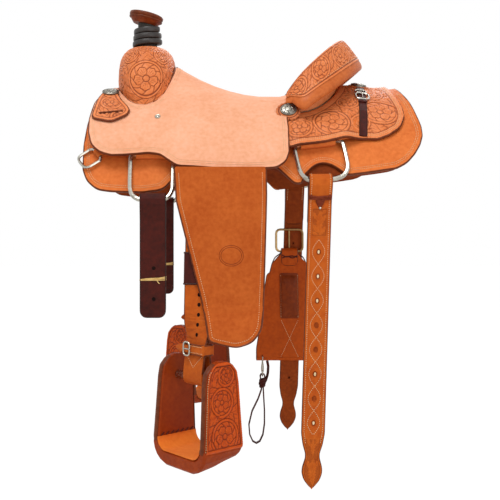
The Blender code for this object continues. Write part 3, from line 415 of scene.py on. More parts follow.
def spread(drop, h):
    """Distance from the centreline at a drop down the side: (ARC + h) sin(a) - PAST."""
    out = ARC + h
    return out * np.sin(np.arcsin(PAST / out) + np.abs(drop) / ARC) - PAST


def drop_of(y, h):
    """The drop at which the layer h is y away from the centreline."""
    out = ARC + h
    return ARC * (np.arcsin((np.abs(y) + PAST) / out) - np.arcsin(PAST / out))


def height_at(x, y, h):
    """Height of the layer h over (x, y): the arc, a parabola where |y| < SPINE, and the climb."""
    out = ARC + h
    far = np.maximum(np.abs(y), SPINE)
    slope = (SPINE + PAST) / np.sqrt(out ** 2 - (SPINE + PAST) ** 2)
    z = np.sqrt(out ** 2 - (far + PAST) ** 2) - BELOW
    z = z + np.where(np.abs(y) < SPINE, slope * (SPINE ** 2 - y ** 2) / (2 * SPINE), 0.0)
    return z + climb(x)


# Over the spine, up to SPINE from the centreline, the form is rounded off. The cantle's rim is half an ellipse
# about CANTLE_X, its half axes CANTLE_LONG and CANTLE_WIDE.
SPINE = 70.0
CANTLE_X, CANTLE_LONG, CANTLE_WIDE = 150.0, 114.0, 158.0


def rim_height(turn):
    """Height of the cantle's rim at an angle from the centre back: 24 + 147 cos(6/7 turn) ** 0.84."""
    return 24.0 + 147.0 * np.maximum(0.0, np.cos(turn * 6 / 7)) ** 0.84


def seat_rise(x, y):
    """How far the seat stands above its layer: a parabola from swell to cantle that fades sideways as
    1 / (1 + (y / 92) ** 4.5), and the dish that climbs to the cantle's rim as share ** 1.9."""
    y = np.abs(y)
    curve = 49.0 + 0.001515 * (np.maximum(x, -125.0) - 104.0) ** 2
    middle = (curve - height_at(0.0, 0.0, SEAT_LAYER)) * eased((x + 190.0) / 80.0)
    rise = middle / (1.0 + (y / 92.0) ** 4.5)
    base = height_at(x, y, SEAT_LAYER) + rise
    turn = np.arcsin(np.clip(y / CANTLE_WIDE, 0, 1))
    rim_x = CANTLE_X + CANTLE_LONG * np.cos(turn)
    start = rim_x - 44.0 - 100.0 * np.cos(turn)
    share = np.clip((x - start) / (rim_x - 7.0 - start), 0, 1)
    dish = np.where(y < CANTLE_WIDE, (rim_height(turn) - base) * share ** 1.9, 0.0)
    turn = np.arctan2(y / CANTLE_WIDE, (x - CANTLE_X) / CANTLE_LONG)
    inside = (1.0 - np.hypot(y / CANTLE_WIDE, (x - CANTLE_X) / CANTLE_LONG)) * 140.0
    share = np.clip((47.0 - inside) / 40.0, 0, 1)
    fade = eased((np.radians(112) - turn) / np.radians(24))
    side_dish = (rim_height(turn) - base) * share ** 1.9 * fade
    dish = np.where(x > 90.0, np.maximum(dish, side_dish), dish)
    return rise + np.maximum(0.0, dish) * eased((168.0 - y) / 14.0)


def on_seat(x, drop, h):
    """Points in metres of the seat's layers: the layer's place, raised by the seat's own rise."""
    x, drop, h = floats(x, drop, h)
    y = spread(drop, h)
    z = height_at(x, y, h) + seat_rise(x, spread(drop, SEAT_LAYER))
    return np.stack([x, y * np.where(drop < 0, -1, 1), z], -1) * 0.001


def rim_point(turn, offset):
    """Place on the cantle's rim, moved outward by offset along its normal, and the rim's height."""
    away = np.stack([np.cos(turn) * CANTLE_WIDE, np.sin(turn) * CANTLE_LONG], -1)
    away /= np.linalg.norm(away, axis=-1)[..., None]
    return (CANTLE_X + CANTLE_LONG * np.cos(turn) + away[..., 0] * offset,
            CANTLE_WIDE * np.sin(turn) + away[..., 1] * offset, rim_height(turn))


# Rough-out leather is the napped flesh side: matt, pale, with a faint mottle where it has been handled. The seat
# is painted much paler than the fenders' rough-out: partly its own tone, partly painted light, as it faces up.
rough_out = hide("rough_out_leather", "F6B694", "EAA27A", 0.88, nap=0.12, grain=1.1, lift=0.25)

SEAT_EDGE = [(-239, 58), (-256, 62), (-262, 70), (-270, 90), (-284, 140), (-290, 195), (-288, 231),
             (-280, 260),
             (-263, 276), (-239, 283), (-209, 282), (-164, 278), (-140, 281), (-122, 294), (-104, 306),
             (-74, 307),
             (-30, 310), (44, 312), (97, 309), (116, 296), (123, 276), (125, 212), (125, 163), (150, 158)]
dressed("seat_leather", rough_out)
dressed("ground_seat", felt)
notch = np.radians(np.linspace(0, 158, 60))
SWELL_X, NOTCH_LONG, NOTCH_WIDE = -178.0, 68.5, 146.5


def signed_power(share, power):
    """A cosine or sine whose size is raised to a power."""
    return np.sign(share) * np.abs(share) ** power


def notch_line(more):
    """Edge of the seat's opening round the swell, moved out by more, with half axes NOTCH_LONG and NOTCH_WIDE."""
    x = SWELL_X + (NOTCH_LONG + more) * signed_power(np.cos(notch), 0.95)
    return np.stack([x, drop_of((NOTCH_WIDE + more) * signed_power(np.sin(notch), 0.95), SEAT_LAYER)], -1)


rows, edges = [], []
for word, side in SIDES:
    place = lambda x, d, h, s=side: on_seat(x, d * s, h)
    line = even(SEAT_EDGE, 3.0)
    edges += [rim(place, line, 24.3, 30.0, closed=False),
              rim(place, even(notch_line(0.0), 3.0), 24.3, 30.0, closed=False)]
    whole = even(SEAT_EDGE + [(150, 20), (-100, 20), (-100, 100), (-150, 130), (-220, 110)], 3.0, True)
    for amount in (6.5, 10.5):
        row = inset(whole, amount)
        x, drop = row[:, 0], row[:, 1]
        row = row[(drop > 150) & ((x < amount - 268) | (drop > 200) | (x > 100))]
        rows.append(seam(place, opened(row), 30.1))
        line = notch_line(amount + 1)
        rows.append(seam(place, line[(line[:, 1] > 4)], 30.1))
make("seat_edge", *joined(edges), burnished, "saddle", "plain_leather")
sewn("seat_stitches", rows, "saddle")


def standing(place, x, drop, h, square=False):
    """A leather's frame at (x, drop): its place, its two ways read over 8 mm and its outward normal; square
    takes out of the second way what it has of the first."""
    spot = lambda a, b, c: place(np.array([a]), np.array([b]), c)[0]
    middle = spot(x, drop, h)
    along = spot(x + 4.0, drop, h) - spot(x - 4.0, drop, h)
    down = spot(x, drop + 4.0, h) - spot(x, drop - 4.0, h)
    along /= np.linalg.norm(along)
    if square:
        down -= along * np.dot(along, down)
    down /= np.linalg.norm(down)
    up = np.cross(along, down)
    return middle, along, down, up * np.sign(np.dot(up, spot(x, drop, h + 1.0) - middle))


def disc(place, x, drop, h, profile, sides=24, squash=1.0):
    """A turned boss on a leather: rings of (radius, rise) in millimetres round (x, drop), stretched by squash
    along the drop, closed over its top and its foot."""
    middle, along, down, up = standing(place, x, drop, h)
    t = np.arange(sides) * 2 * np.pi / sides
    r = np.array([p[0] for p in profile])[:, None] + 0 * t[None, :]
    rise = np.array([p[1] for p in profile])[:, None] + 0 * r
    points = (middle + along * (r * np.cos(t))[..., None] * 0.001
              + down * (r * np.sin(t))[..., None] * squash * 0.001 + up * rise[..., None] * 0.001)
    faces = grid_faces(len(profile), sides, False, True).tolist()
    faces += [list(range(sides))[::-1], list(range((len(profile) - 1) * sides, len(profile) * sides))]
    return points.reshape(-1, 3), faces


# Screws with ferrules of stainless steel hold the seat leather to the tree beside the swell.
for word, side in SIDES:
    place = lambda x, d, h, s=side: on_seat(x, d * s, h)
    ring = disc(place, -147.0, 190.0, 30.0, [(6.4, -0.5), (6.4, 0.8), (5.4, 1.8), (4.0, 1.4), (3.4, 0.2)])
    head = disc(place, -147.0, 190.0, 30.0, [(2.6, 0.0), (2.6, 1.2), (1.4, 1.9), (0.2, 2.0)])
    make(word + "_seat_screw", *joined([ring, head]), steel, "saddle", "steel")

# Rear jockeys: floral-tooled leathers behind and beside the cantle, over the skirts. The pattern is cut with a
# swivel knife and stamped: five-petal flowers in rings of stem, leaves round them, and a beaded ground.


def ramp(value, start, end):
    """Smooth step from 0 at start to 1 at end; end may be the lower."""
    share = np.clip((value - start) / (end - start), 0, 1)
    return share * share * (3 - 2 * share)


def carve(u, v, flowers):
    """Height, from 0 to 1, and depth tint of floral tooling at the flat places (u, v).

    Each flower (u, v, ring radius, turn) rules the places nearest to it, in its own radii r and turn t. Petals:
    domes out to 0.62 (0.66 + 0.34 |cos 2.5t| ** 0.6), frilled, split where cos 2.5t is 0. Eye: a seeded button
    of radius 0.14. Blades curl from the petals to the stem along 4.5 t + 6 r. Stem: a raised band that spirals
    out from r = 0.82 to 0.92. Leaves: outside it, eight blades along t + 1.7 r, each a bow of sin(pi w) with a
    midrib and barbs. A cut line 1 to 2 mm wide runs round each of them."""
    best = np.full(u.shape, 1e9)
    r, t, size = np.zeros(u.shape), np.zeros(u.shape), np.ones(u.shape)
    for x, y, radius, turn in flowers:
        away = np.hypot(u - x, v - y) / radius
        near = away < best
        best = np.where(near, away, best)
        r = np.where(near, away, r)
        size = np.where(near, radius, size)
        t = np.where(near, np.arctan2(v - y, u - x) + turn, t)
    split = np.abs(np.cos(2.5 * t))
    edge = 0.62 * (0.66 + 0.34 * split ** 0.6 - 0.07 * np.abs(np.sin(7.5 * t)))
    petal = ramp(r, edge + 0.5 / size, edge - 0.5 / size)
    dome = 0.6 + 0.4 * np.sqrt(split) - 0.45 * ramp(r, 0.42, 0.14)
    vein = ramp(np.cos(25 * t), 0.6, 1.0) * ramp(r, 0.18, 0.26) * ramp(r, edge - 0.05, edge - 0.2)
    eye = ramp(r, 0.14, 0.13) * (0.7 + 0.3 * np.cos(8 * t) * ramp(r, 0.03, 0.1))
    cut = ramp(np.abs(r - edge) * size, 1.5, 0.4)
    cut = np.maximum(cut, 0.8 * ramp(split / 2.5 * r * size, 1.1, 0.3) * petal * ramp(r, 0.12, 0.2))
    cut = np.maximum(cut, ramp(np.abs(r - 0.16) * size, 1.5, 0.4))
    cut = np.maximum(cut, 0.6 * vein * petal)
    between = ramp(r, edge, edge + 1.2 / size) * ramp(r, 0.8, 0.76)
    hatch = np.clip(np.abs(np.cos(4.5 * t + 6 * r)) * r * size / 4.5 / 2.2, 0, 1)
    height = np.maximum(petal * (dome - 0.25 * vein) * (r > 0.15), eye) + between * (0.1 + 0.6 * hatch)
    cut = np.maximum(cut, between * (1 - hatch))
    away = np.abs(r - 0.82 - 0.1 * np.mod(t, 2 * np.pi) / (2 * np.pi)) * size
    stem = ramp(away, 2.6, 1.8)
    cut = np.maximum(cut, ramp(np.abs(away - 3.0), 1.1, 0.3))
    w = np.mod(t * 8 / (2 * np.pi) + 1.7 * r + 0.09 * np.sin(8 * r), 1.0)
    wide = r * size * 2 * np.pi / 8
    outside = ramp(r, 0.93, 0.97)
    barbs = ramp(np.cos(size * r * 1.1 + 12 * np.abs(w - 0.5)), 0.3, 1.0) * ramp(np.abs(w - 0.5), 0.12, 0.2)
    lines = np.maximum(ramp(np.minimum(w, 1 - w) * wide, 2.0, 0.5),
                       0.75 * ramp(np.abs(w - 0.5) * wide, 1.1, 0.3))
    lines = np.maximum(lines, 0.5 * barbs) * outside
    height = np.maximum(height * (1 - outside), outside * (0.35 + 0.65 * np.sin(np.pi * w)))
    height = np.maximum(height, stem * 0.95)
    cut = np.maximum(cut * (1 - outside), lines) * (1 - stem)
    cut = np.maximum(cut, ramp(np.abs(away - 3.0), 1.1, 0.3))
    # The low ground is tinted darker the lower it lies: partly the stamped leather's own darkening, partly
    # painted shade.
    ground = 0.75 * ramp(height, 0.6, 0.1)
    return height * (1 - 0.85 * cut), np.maximum(0.85 * cut, ground)


def within(u, v, outline):
    """Whether flat places lie inside an outline, by counting the sides crossed on the way out."""
    found = np.zeros(u.shape, bool)
    for (ax, ay), (bx, by) in zip(outline, np.roll(outline, -1, 0)):
        if ay != by:
            crosses = ((ay > v) != (by > v)) & (u < ax + (bx - ax) * (v - ay) / (by - ay))
            found ^= crosses
    return found


def tooled(name, place, outline, h, flowers, material, body, slot, border=9.0, step=1.25, depth=1.6, holes=(),
           low=0.9):
    """A carved face over a leather: a grid of step millimetres cut to the outline, lifted by the carving inside
    a plain border that two cut lines close. The grid's own ragged rim lies under the rounded edge."""
    outline = np.asarray(outline, float)
    u, v = np.meshgrid(np.arange(outline[:, 0].min(), outline[:, 0].max() + step, step),
                       np.arange(outline[:, 1].min(), outline[:, 1].max() + step, step), indexing="ij")
    inner = np.full(u.shape, 1e9)
    for p, q in zip(outline, np.roll(outline, -1, 0)):
        run = q - p
        share = np.clip(((u - p[0]) * run[0] + (v - p[1]) * run[1]) / (run @ run + 1e-9), 0, 1)
        inner = np.minimum(inner, np.hypot(u - p[0] - share * run[0], v - p[1] - share * run[1]))
    height, tint = carve(u, v, flowers)
    field = ramp(inner, border - 0.6, border + 0.8)
    line = ramp(np.abs(inner - border + 1.0), 1.5, 0.4)
    height = (height * field + (1 - field) * 0.85) * (1 - 0.7 * line)
    tint = np.maximum(tint * field, line * 0.8)
    face = h(u, v) if callable(h) else np.full(u.shape, float(h))
    points = place(u, v, face + low + depth * (height - 0.3))
    faces = grid_faces(*u.shape)
    middle_u, middle_v = u.ravel()[faces].mean(1), v.ravel()[faces].mean(1)
    keep = within(middle_u, middle_v, outline)
    for hole in holes:
        keep &= ~within(middle_u, middle_v, np.asarray(hole, float))
    faces = faces[keep]
    used, again = np.unique(faces, return_inverse=True)
    points, tint = points.reshape(-1, 3)[used], tint.ravel()[used]
    faces = again.reshape(-1, 4)
    above = place(u.ravel()[used[:1]], v.ravel()[used[:1]], face.ravel()[used[:1]] + 5.0)[0] - points[0]
    first = points[faces[0]]
    if np.dot(np.cross(first[1] - first[0], first[2] - first[1]), above) < 0:
        faces = faces[:, ::-1]
    return make(name, points, faces, material, body, slot, cut=tint, turn_out=False)


# Tooled leather is the grain side, cased wet and carved, then oiled: warm, glossier, dark down in the cuts. Its
# low ground is also tinted darker the lower it lies: partly the leather's own darkening, partly painted shade.
carved = hide("floral_tooled_leather", "EE8F58", "D8743C", 0.46, shine=0.12, lift=0.08, cut="6E2408")

JOCKEY = [(112, 172), (110, 259), (200, 249), (275, 232), (291, 232), (312, 236), (339, 228), (363, 211),
          (375, 181), (376, 154), (372, 114), (368, 64), (366, 2)]


def jockey_high(x, drop):
    """Height of the rear jockey's face: over the bars in front, lifted over the dee, on the skirts behind."""
    raised = 15.2 + 4.6 * eased((np.abs(drop) - 180) / 30) * eased((x - 126) / 24)
    share = np.maximum(eased((x - 270) / 90), eased((np.abs(drop) - 150) / 90) * eased((x - 235) / 50))
    return 5.0 + raised + (1.0 - raised) * share


base_turns = np.radians(np.linspace(97, 0, 24))
base_x, base_y, _ = rim_point(base_turns, -2.0)
base_line = np.stack([base_x, np.maximum(0.5, drop_of(base_y, 17.0))], -1)
for word, side in SIDES:
    dressed(word + "_rear_jockey", skirting)
    place = lambda x, d, h, s=side: on_form(x, d * s, h)
    edge = even(JOCKEY, 3.0)
    whole = np.vstack([edge, base_line[::-1]])
    tooled(word + "_rear_jockey_tooling", place, whole, jockey_high,
           [(150, 212, 30, 0.3), (219, 197, 43, 1.1), (327, 163, 45, 0.2), (281, 196, 22, 0.9),
            (262, 130, 27, 0.1),
            (318, 84, 32, 1.4), (335, 20, 28, 0.5), (268, 72, 26, 0.7)],
           carved, "saddle", "tooled_leather", border=13.0, low=1.0)
    low, high = lambda x, d: jockey_high(x, d) - 5.0, lambda x, d: jockey_high(x, d) + 1.6
    make(word + "_rear_jockey_edge", *rim(place, edge, low, high, closed=False), burnished, "saddle",
         "plain_leather")
    rows = []
    for amount in (5.5, 9.0):
        row = inset(whole, amount)
        row = row[(row[:, 1] > 20) & ((row[:, 0] > 290) | (row[:, 1] > 200))]
        rows.append(seam(place, opened(row), lambda x, d: jockey_high(x, d) + 1.95))
    sewn(word + "_rear_jockey_stitches", rows, "saddle")

# Cantle: a wooden board with a leather back, and over its rim the wide roll, tooled with flowers on its rear
# face and turned down at its lower edge.


def lifted(grid, amount, away_from, wrap=False):
    """A grid of points moved along its own normals by amount in millimetres, away from a middle point."""
    along = np.gradient(grid, axis=0)
    across = np.gradient(grid, axis=1)
    if wrap:
        across = (np.roll(grid, -1, 1) - np.roll(grid, 1, 1)) / 2
    normal = np.cross(along, across)
    normal /= np.linalg.norm(normal, axis=-1)[..., None] + 1e-12
    sign = np.sign(np.sum(normal * (grid - np.asarray(away_from)), axis=-1).mean())
    return grid + normal * sign * np.asarray(amount)[..., None] * 0.001


def lengths(grid, axis):
    """Distance in millimetres along one way of a grid of points, measured in its middle row."""
    line = np.take(grid, grid.shape[1 - axis] // 2, 1 - axis)
    return np.concatenate([[0], np.cumsum(np.linalg.norm(np.diff(line, axis=0), axis=1))]) * 1000


def roll_point(degrees, out, up):
    """A point of the roll's section, out from the rim and up, at an angle from the centre back; the section
    shrinks past 84 degrees and steepens towards the sides."""
    size = 1.0 - 0.75 * eased((np.abs(degrees) - 84) / 18)
    steep = 1.0 + 0.27 * np.minimum(1.0, np.abs(degrees) / 60)
    x, y, rim_z = rim_point(np.radians(degrees), out * size / steep)
    return np.stack([x, y, rim_z + up * size * steep], -1) * 0.001


# The roll's turned edge is smooth leather, rubbed glossy by hand.
smooth_roll = hide("rubbed_roll_leather", "D27239", "BB5C28", 0.5, shine=0.12, lift=0.1)
dressed("cantle_roll", smooth_roll)
dressed("cantle_back", carved)
dressed("tree_cantle", felt)
dressed("tree_fork", felt)
ROLL = [(1.5, 3.9), (6.5, 3.3), (20, -10.6), (34, -27.6), (42.5, -38.4)]
UNDER = [(41.5, -37.0), (45, -41.5), (48, -46), (50, -51), (49.7, -56), (47, -60), (43, -61.6), (39, -60.5),
         (35, -57)]


def roll_face(line, degrees, share):
    """The roll's face: share runs evenly along a line of its section, given as (out from the rim, up)."""
    line = even(line, 1.0)
    at = share * (len(line) - 1)
    return roll_point(degrees, np.interp(at, np.arange(len(line)), line[:, 0]),
                      np.interp(at, np.arange(len(line)), line[:, 1]))


degrees, share = np.meshgrid(np.linspace(-101, 101, 460), np.linspace(0, 1, 60), indexing="ij")
face = roll_face(ROLL, degrees, share)
u = (lengths(face, 0) - lengths(face, 0).mean())[:, None] + 0 * share
v = share * lengths(face, 1)[-1]
height, tint = carve(u, v, [(70 * k, 29 + 3 * (-1) ** k, 29, 0.7 * k) for k in range(-4, 5)])
border = ramp(np.abs(share - 0.5), 0.42, 0.45)
line = ramp(np.abs(np.abs(share - 0.5) - 0.415), 0.03, 0.01)
height = (height * (1 - border) + border * 0.85) * (1 - 0.7 * line)
face = lifted(face, 0.2 + 1.5 * height, (0.15, 0.0, 0.0))
make("cantle_roll_tooling", face, grid_faces(*u.shape), carved, "saddle", "tooled_leather",
     cut=np.maximum(tint * (1 - border), 0.8 * line))
degrees, share = np.meshgrid(np.linspace(-101, 101, 300), np.linspace(0, 1, 24), indexing="ij")
make("cantle_roll_edge", roll_face(UNDER, degrees, share), grid_faces(*share.shape), smooth_roll, "saddle",
     "plain_leather")
turn = np.linspace(-101, 101, 200)
make("cantle_roll_top", *tube(roll_point(turn, 0.5 + 0 * turn, 3.0 + 0 * turn), (0, 0, 1), 0.0030, 0.0022, 8,
                              False), burnished, "saddle", "plain_leather")
roll_place = lambda along, side_way, h: roll_point(along / 2.3, 6.0 + side_way, 3.8 - 1.12 * side_way + h)
sewn("cantle_roll_stitches", [seam(roll_place,
                                   np.stack([np.linspace(-228, 228, 200), np.full(200, 33.5)], -1), 1.9)],
     "saddle")

# Swell: the fork of the tree under one piece of tooled leather drawn wet over it, down to the seat's collar.
# Levels of the swell: the share of its height, its half length there and its half width.
LEVELS = np.array([(0.0, 64, 141), (0.25, 64, 141), (0.5, 62.5, 137), (0.68, 60, 128), (0.82, 55, 110),
                   (0.92, 47, 83), (0.98, 39, 55), (1.0, 33, 33)])
dressed("swell_cover", carved)
level = np.linspace(0.0, 1.0, 240) ** 0.75
turn = np.linspace(0, 2 * np.pi, 560, endpoint=False)
reach = [np.interp(level, LEVELS[:, 0], LEVELS[:, k]) for k in (1, 2)]
for _ in range(3):
    reach = [np.concatenate([r[:1], (r[:-2] + r[1:-1] * 2 + r[2:]) / 4, r[-1:]]) for r in reach]
power = (1.0 - 0.2 * np.sin(np.pi * np.minimum(1.0, level / 0.9)))[:, None]
x = SWELL_X + reach[0][:, None] * signed_power(np.cos(turn)[None, :], power)
y = reach[1][:, None] * signed_power(np.sin(turn)[None, :], power)
base = on_form(x, drop_of(y, 15.5), 15.5)[..., 2] * 1000
face = np.stack([x, y, base + (158.5 - base) * level[:, None]], -1) * 0.001
ring = np.linalg.norm(np.roll(face[70], -1, 0) - face[70], axis=1) * 1000
round_way = np.concatenate([[0], np.cumsum(ring)[:-1]])
near_mid, off_mid = round_way[420], round_way[140]
u = round_way[None, :] + 0 * level[:, None]
rise = np.concatenate([[0], np.cumsum(np.linalg.norm(np.diff(face[:, 420], axis=0), axis=1))]) * 1000
v = rise[:, None] + 0 * turn[None, :]
flowers = [(m + d, h, r, a) for m in (near_mid, off_mid) for d, h, r, a in
           ((4, 72, 46, 0.4), (-84, 62, 34, 1.2), (92, 60, 34, 2.0), (-48, 134, 30, 0.1), (54, 132, 30, 0.8),
            (2, 168, 26, 1.7), (-146, 104, 36, 0.5))]
height, tint = carve(u, v, flowers)
field = ramp(v, 4, 8) * ramp(v, v.max() - 5, v.max() - 9)
face = lifted(face, 0.35 + 1.6 * height * field, (-0.178, 0.0, 0.05), wrap=True)
make("swell_tooling", face, grid_faces(*u.shape, False, True), carved, "saddle", "tooled_leather",
     cut=tint * field)

# Horn: an iron post, wound with strips of black inner-tube rubber for the rope to grip, under a leather cap of
# two stitched layers, tipped up at its front.

# Butyl rubber strip: nearly black, with a soft waxy shine and fine dust in its wrinkles.
rubber = bpy.data.materials.new("black_butyl_rubber")
rubber.use_nodes = True
tree = rubber.node_tree
where = node(tree, "ShaderNodeTexCoord").outputs["Object"]
creases = node(tree, "ShaderNodeMapping", {"Vector": where, "Scale": (1.0, 1.0, 5.0)})
creases = node(tree, "ShaderNodeTexNoise", {"Vector": creases.outputs[0], "Scale": 60.0, "Detail": 4.0})
dust = node(tree, "ShaderNodeMix", {0: creases.outputs[0], 6: linear("120F0D"), 7: linear("332C28")},
            data_type="RGBA")
bump = node(tree, "ShaderNodeBump", {"Height": creases.outputs[0], "Strength": 0.8, "Distance": 0.0012})
tree.links.new(dust.outputs[2], tree.nodes["Principled BSDF"].inputs["Base Color"])
tree.links.new(bump.outputs[0], tree.nodes["Principled BSDF"].inputs["Normal"])
tree.nodes["Principled BSDF"].inputs["Roughness"].default_value = 0.42
iron = toned("cast_iron", "2A2724", "47423D", 300.0, 0.6, metallic=0.6)
dressed("horn_post", iron)
wound = np.linspace(0, 2.75 * 2 * np.pi, 240)
swelling = 12.5 - 4.0 * np.linspace(0, 1, 240)
section = np.linspace(0, 2 * np.pi, 18, endpoint=False)
out = 22.6 + swelling[:, None] * (0.5 + 0.5 * signed_power(np.cos(section), 0.45)[None, :])
z = 159.9 + 6.6 + 13.9 * wound[:, None] / (2 * np.pi) + 6.6 * signed_power(np.sin(section), 0.7)[None, :]
points = np.stack([-179.0 + out * np.cos(wound + 1.2)[:, None], out * np.sin(wound + 1.2)[:, None], z],
                  -1) * 0.001
faces = grid_faces(240, 18, False, True).tolist() + [list(range(18)), list(range(239 * 18, 240 * 18))]
wrap = make("horn_rubber", points, faces, rubber, "saddle", "rubber")
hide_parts("horn_wrap")


def on_cap(x, y, h):
    """Points in metres on the tilted top of the horn's cap, measured from its middle."""
    x, y, h = floats(x, y, h)
    z = 23.5 + h
    tilt = np.radians(13.0)
    return np.stack([-186.0 + x * np.cos(tilt) + z * np.sin(tilt), y,
                     218.0 - x * np.sin(tilt) + z * np.cos(tilt)],
                    -1) * 0.001


# The cap's leather is painted darker than the tooled leather: painted shade, as its sides and underside lie in
# shade.
cap_leather = hide("shade_darkened_cap_leather", "8E4018", "6C280C", 0.5, shine=0.12)
dressed("horn_cap", cap_leather)
t = np.linspace(0, 2 * np.pi, 90, endpoint=False)
ring = np.stack([np.cos(t), np.sin(t)], -1)
make("horn_cap_edge", *joined([rim(on_cap, ring * 37.6, -8.2, -0.4, wide=1.8),
                               rim(on_cap, ring * 37.2, -13.0, -9.2, wide=1.6)]), burnished, "saddle",
     "plain_leather")
sewn("horn_cap_stitches", [seam(on_cap, ring * 33.0, 0.1, closed=True)], "saddle")
t, r = np.meshgrid(np.linspace(0, 2 * np.pi, 160, endpoint=False), np.linspace(0.4, 30.5, 26), indexing="ij")
height, tint = carve(r * np.cos(t), r * np.sin(t), [(0, 0, 30.0, 0.4)])
height, tint = height * ramp(r, 30.4, 28.5), tint * ramp(r, 30.4, 28.5)
make("horn_cap_tooling", on_cap(r * np.cos(t), r * np.sin(t), 0.15 + height),
     grid_faces(160, 26, True, False),
     carved, "saddle", "tooled_leather", cut=tint)

# Latigo carriers: slotted, tooled leathers at the front on which the strap ends are stowed, each held by a
# concho; conchos also mark the seat's corners, on scalloped leather rosettes, and the rear jockeys.
CARRIER = [(-264, 88), (-242, 88), (-238, 112), (-228, 138), (-214, 160), (-208, 174), (-213, 187),
           (-243, 206),
           (-284, 196), (-276, 130)]
SLOT = [(-270, 181), (-222, 174), (-219, 177), (-222, 180), (-270, 187), (-273, 184)]

# Engraved nickel silver, tarnished black in the cuts and rubbed bright on the high places.
silver = bpy.data.materials.new("engraved_nickel_silver")
silver.use_nodes = True
tree = silver.node_tree
deep = node(tree, "ShaderNodeAttribute", attribute_name="cut").outputs["Fac"]
rub = node(tree, "ShaderNodeTexNoise", {"Vector": node(tree, "ShaderNodeTexCoord").outputs["Object"],
                                        "Scale": 260.0, "Detail": 3.0}).outputs[0]
bright = node(tree, "ShaderNodeMix", {0: rub, 6: linear("6E685E"), 7: linear("B4AFA4")}, data_type="RGBA")
tone = node(tree, "ShaderNodeMix", {0: deep, 6: bright.outputs[2], 7: linear("1E1A16")}, data_type="RGBA")
gloss = node(tree, "ShaderNodeMapRange", {"Value": deep, "To Min": 0.24, "To Max": 0.6})
tree.links.new(tone.outputs[2], tree.nodes["Principled BSDF"].inputs["Base Color"])
tree.links.new(gloss.outputs[0], tree.nodes["Principled BSDF"].inputs["Roughness"])
tree.nodes["Principled BSDF"].inputs["Metallic"].default_value = 1.0


def boss(place, x, drop, h, long, wide, shape):
    """An oval boss: rings of share r of the half sizes; shape(r, t) gives its height and its depth tint."""
    middle, along, down, up = standing(place, x, drop, h, square=True)
    r, t = np.meshgrid(np.linspace(0.02, 1.0, 34), np.linspace(0, 2 * np.pi, 96, endpoint=False),
                       indexing="ij")
    height, tint, swell = shape(r, t)
    points = (middle + along * (r * swell * long / 2 * np.cos(t))[..., None] * 0.001
              + down * (r * swell * wide / 2 * np.sin(t))[..., None] * 0.001 + up * height[..., None] * 0.001)
    foot = points[-1] - up * (height[-1] + 0.4)[:, None] * 0.001
    points = np.concatenate([points, foot[None]])
    tint = np.concatenate([tint, tint[-1:]])
    faces = grid_faces(35, 96, False, True).tolist() + [list(range(96))[::-1], list(range(34 * 96, 35 * 96))]
    return points.reshape(-1, 3), faces, tint.ravel()


def silver_shape(r, t):
    """Dome with a roped rim, a ring of eight leaves, a groove and a small five-petal flower."""
    dome = 0.8 + 5.6 * np.sqrt(np.clip(1 - (0.93 * r) ** 2, 0, 1))
    rope = ramp(r, 0.86, 0.9) * (0.5 + 0.5 * np.cos(36 * t + 20 * r))
    leaves = ramp(np.abs(np.cos(4 * t + 2.2 * r)), 0.3, 0.12) * ramp(r, 0.42, 0.5) * ramp(r, 0.86, 0.8)
    veins = ramp(np.abs(np.sin(4 * t + 2.2 * r)), 0.16, 0.05) * ramp(r, 0.5, 0.56) * ramp(r, 0.8, 0.74)
    grooves = ramp(np.abs(r - 0.85), 0.04, 0.015) + ramp(np.abs(r - 0.42), 0.035, 0.012)
    petals = ramp(np.abs(np.cos(2.5 * t)), 0.35, 0.1) * ramp(r, 0.1, 0.16) * ramp(r, 0.42, 0.38)
    deep = np.clip(leaves + 0.7 * veins + grooves + petals, 0, 1)
    tint = np.clip(deep + 0.7 * ramp(r, 0.86, 0.9) * (1 - rope), 0, 1)
    return dome - 0.55 * deep + 0.35 * rope, tint, 1.0 + 0 * r


def rosette_shape(r, t):
    """A round of leather with eighteen scallops, a stamped ring inside them."""
    scallop = 0.97 + 0.09 * np.abs(np.cos(9 * t)) ** 0.7 * ramp(r, 0.8, 1.0)
    groove = ramp(np.abs(r - 0.84), 0.05, 0.02)
    spokes = ramp(np.abs(np.cos(9 * t)), 0.2, 0.06) * ramp(r, 0.86, 0.9)
    deep = np.clip(groove + spokes, 0, 1)
    return 3.0 - 1.2 * ramp(r, 0.93, 1.0) - 0.6 * deep, 0.3 + 0.7 * deep, scallop


for word, side in SIDES:
    place = lambda x, d, h, s=side: on_seat(x, d * s, h)
    behind = lambda x, d, h, s=side: on_form(x, d * s, h + jockey_high(x, d))
    dressed(word + "_latigo_carrier", burnished)
    edge = even(CARRIER, 2.5, True, 8.0)
    slot = even(SLOT, 1.5, True)
    tooled(word + "_carrier_tooling", place, edge, 34.3,
           [(-246, 146, 26, 0.6), (-252, 100, 24, 1.2), (-232, 192, 14, 0.2)],
           carved, "saddle", "tooled_leather", border=7.0, holes=[slot], low=0.5, depth=1.3)
    make(word + "_carrier_edge", *joined([rim(place, edge, 30.4, 35.3, wide=3.0),
                                          rim(place, slot, 31.0, 35.2, wide=1.8)]), burnished, "saddle",
         "plain_leather")
    for kind, where, x, drop, h, long, wide in (("front", place, -253, 104, 35.4, 37, 31),
                                                ("seat", place, 129, 172, 31.2, 50, 45),
                                                ("rear", behind, 303, 25, 1.4, 44, 39)):
        if kind != "front":
            points, faces, tint = boss(where, x, drop, h, long, wide, rosette_shape)
            make(word + "_" + kind + "_rosette", points, faces, carved, "saddle", "plain_leather", cut=tint)
            h, long, wide = {"seat": 34.2, "rear": 4.2}[kind], 35, 29
        points, faces, tint = boss(where, x, drop, h, long, wide, silver_shape)
        piece = make(word + "_" + kind + "_silver", points, faces, silver, "saddle", "steel", cut=tint)
        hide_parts(word + "_" + kind + "_concho")

# Rear straps: dark latigo leather straps that run down from the rear conchos over the jockeys, each through a
# small steel buckle with its keeper, sewn down at the jockey's edge.

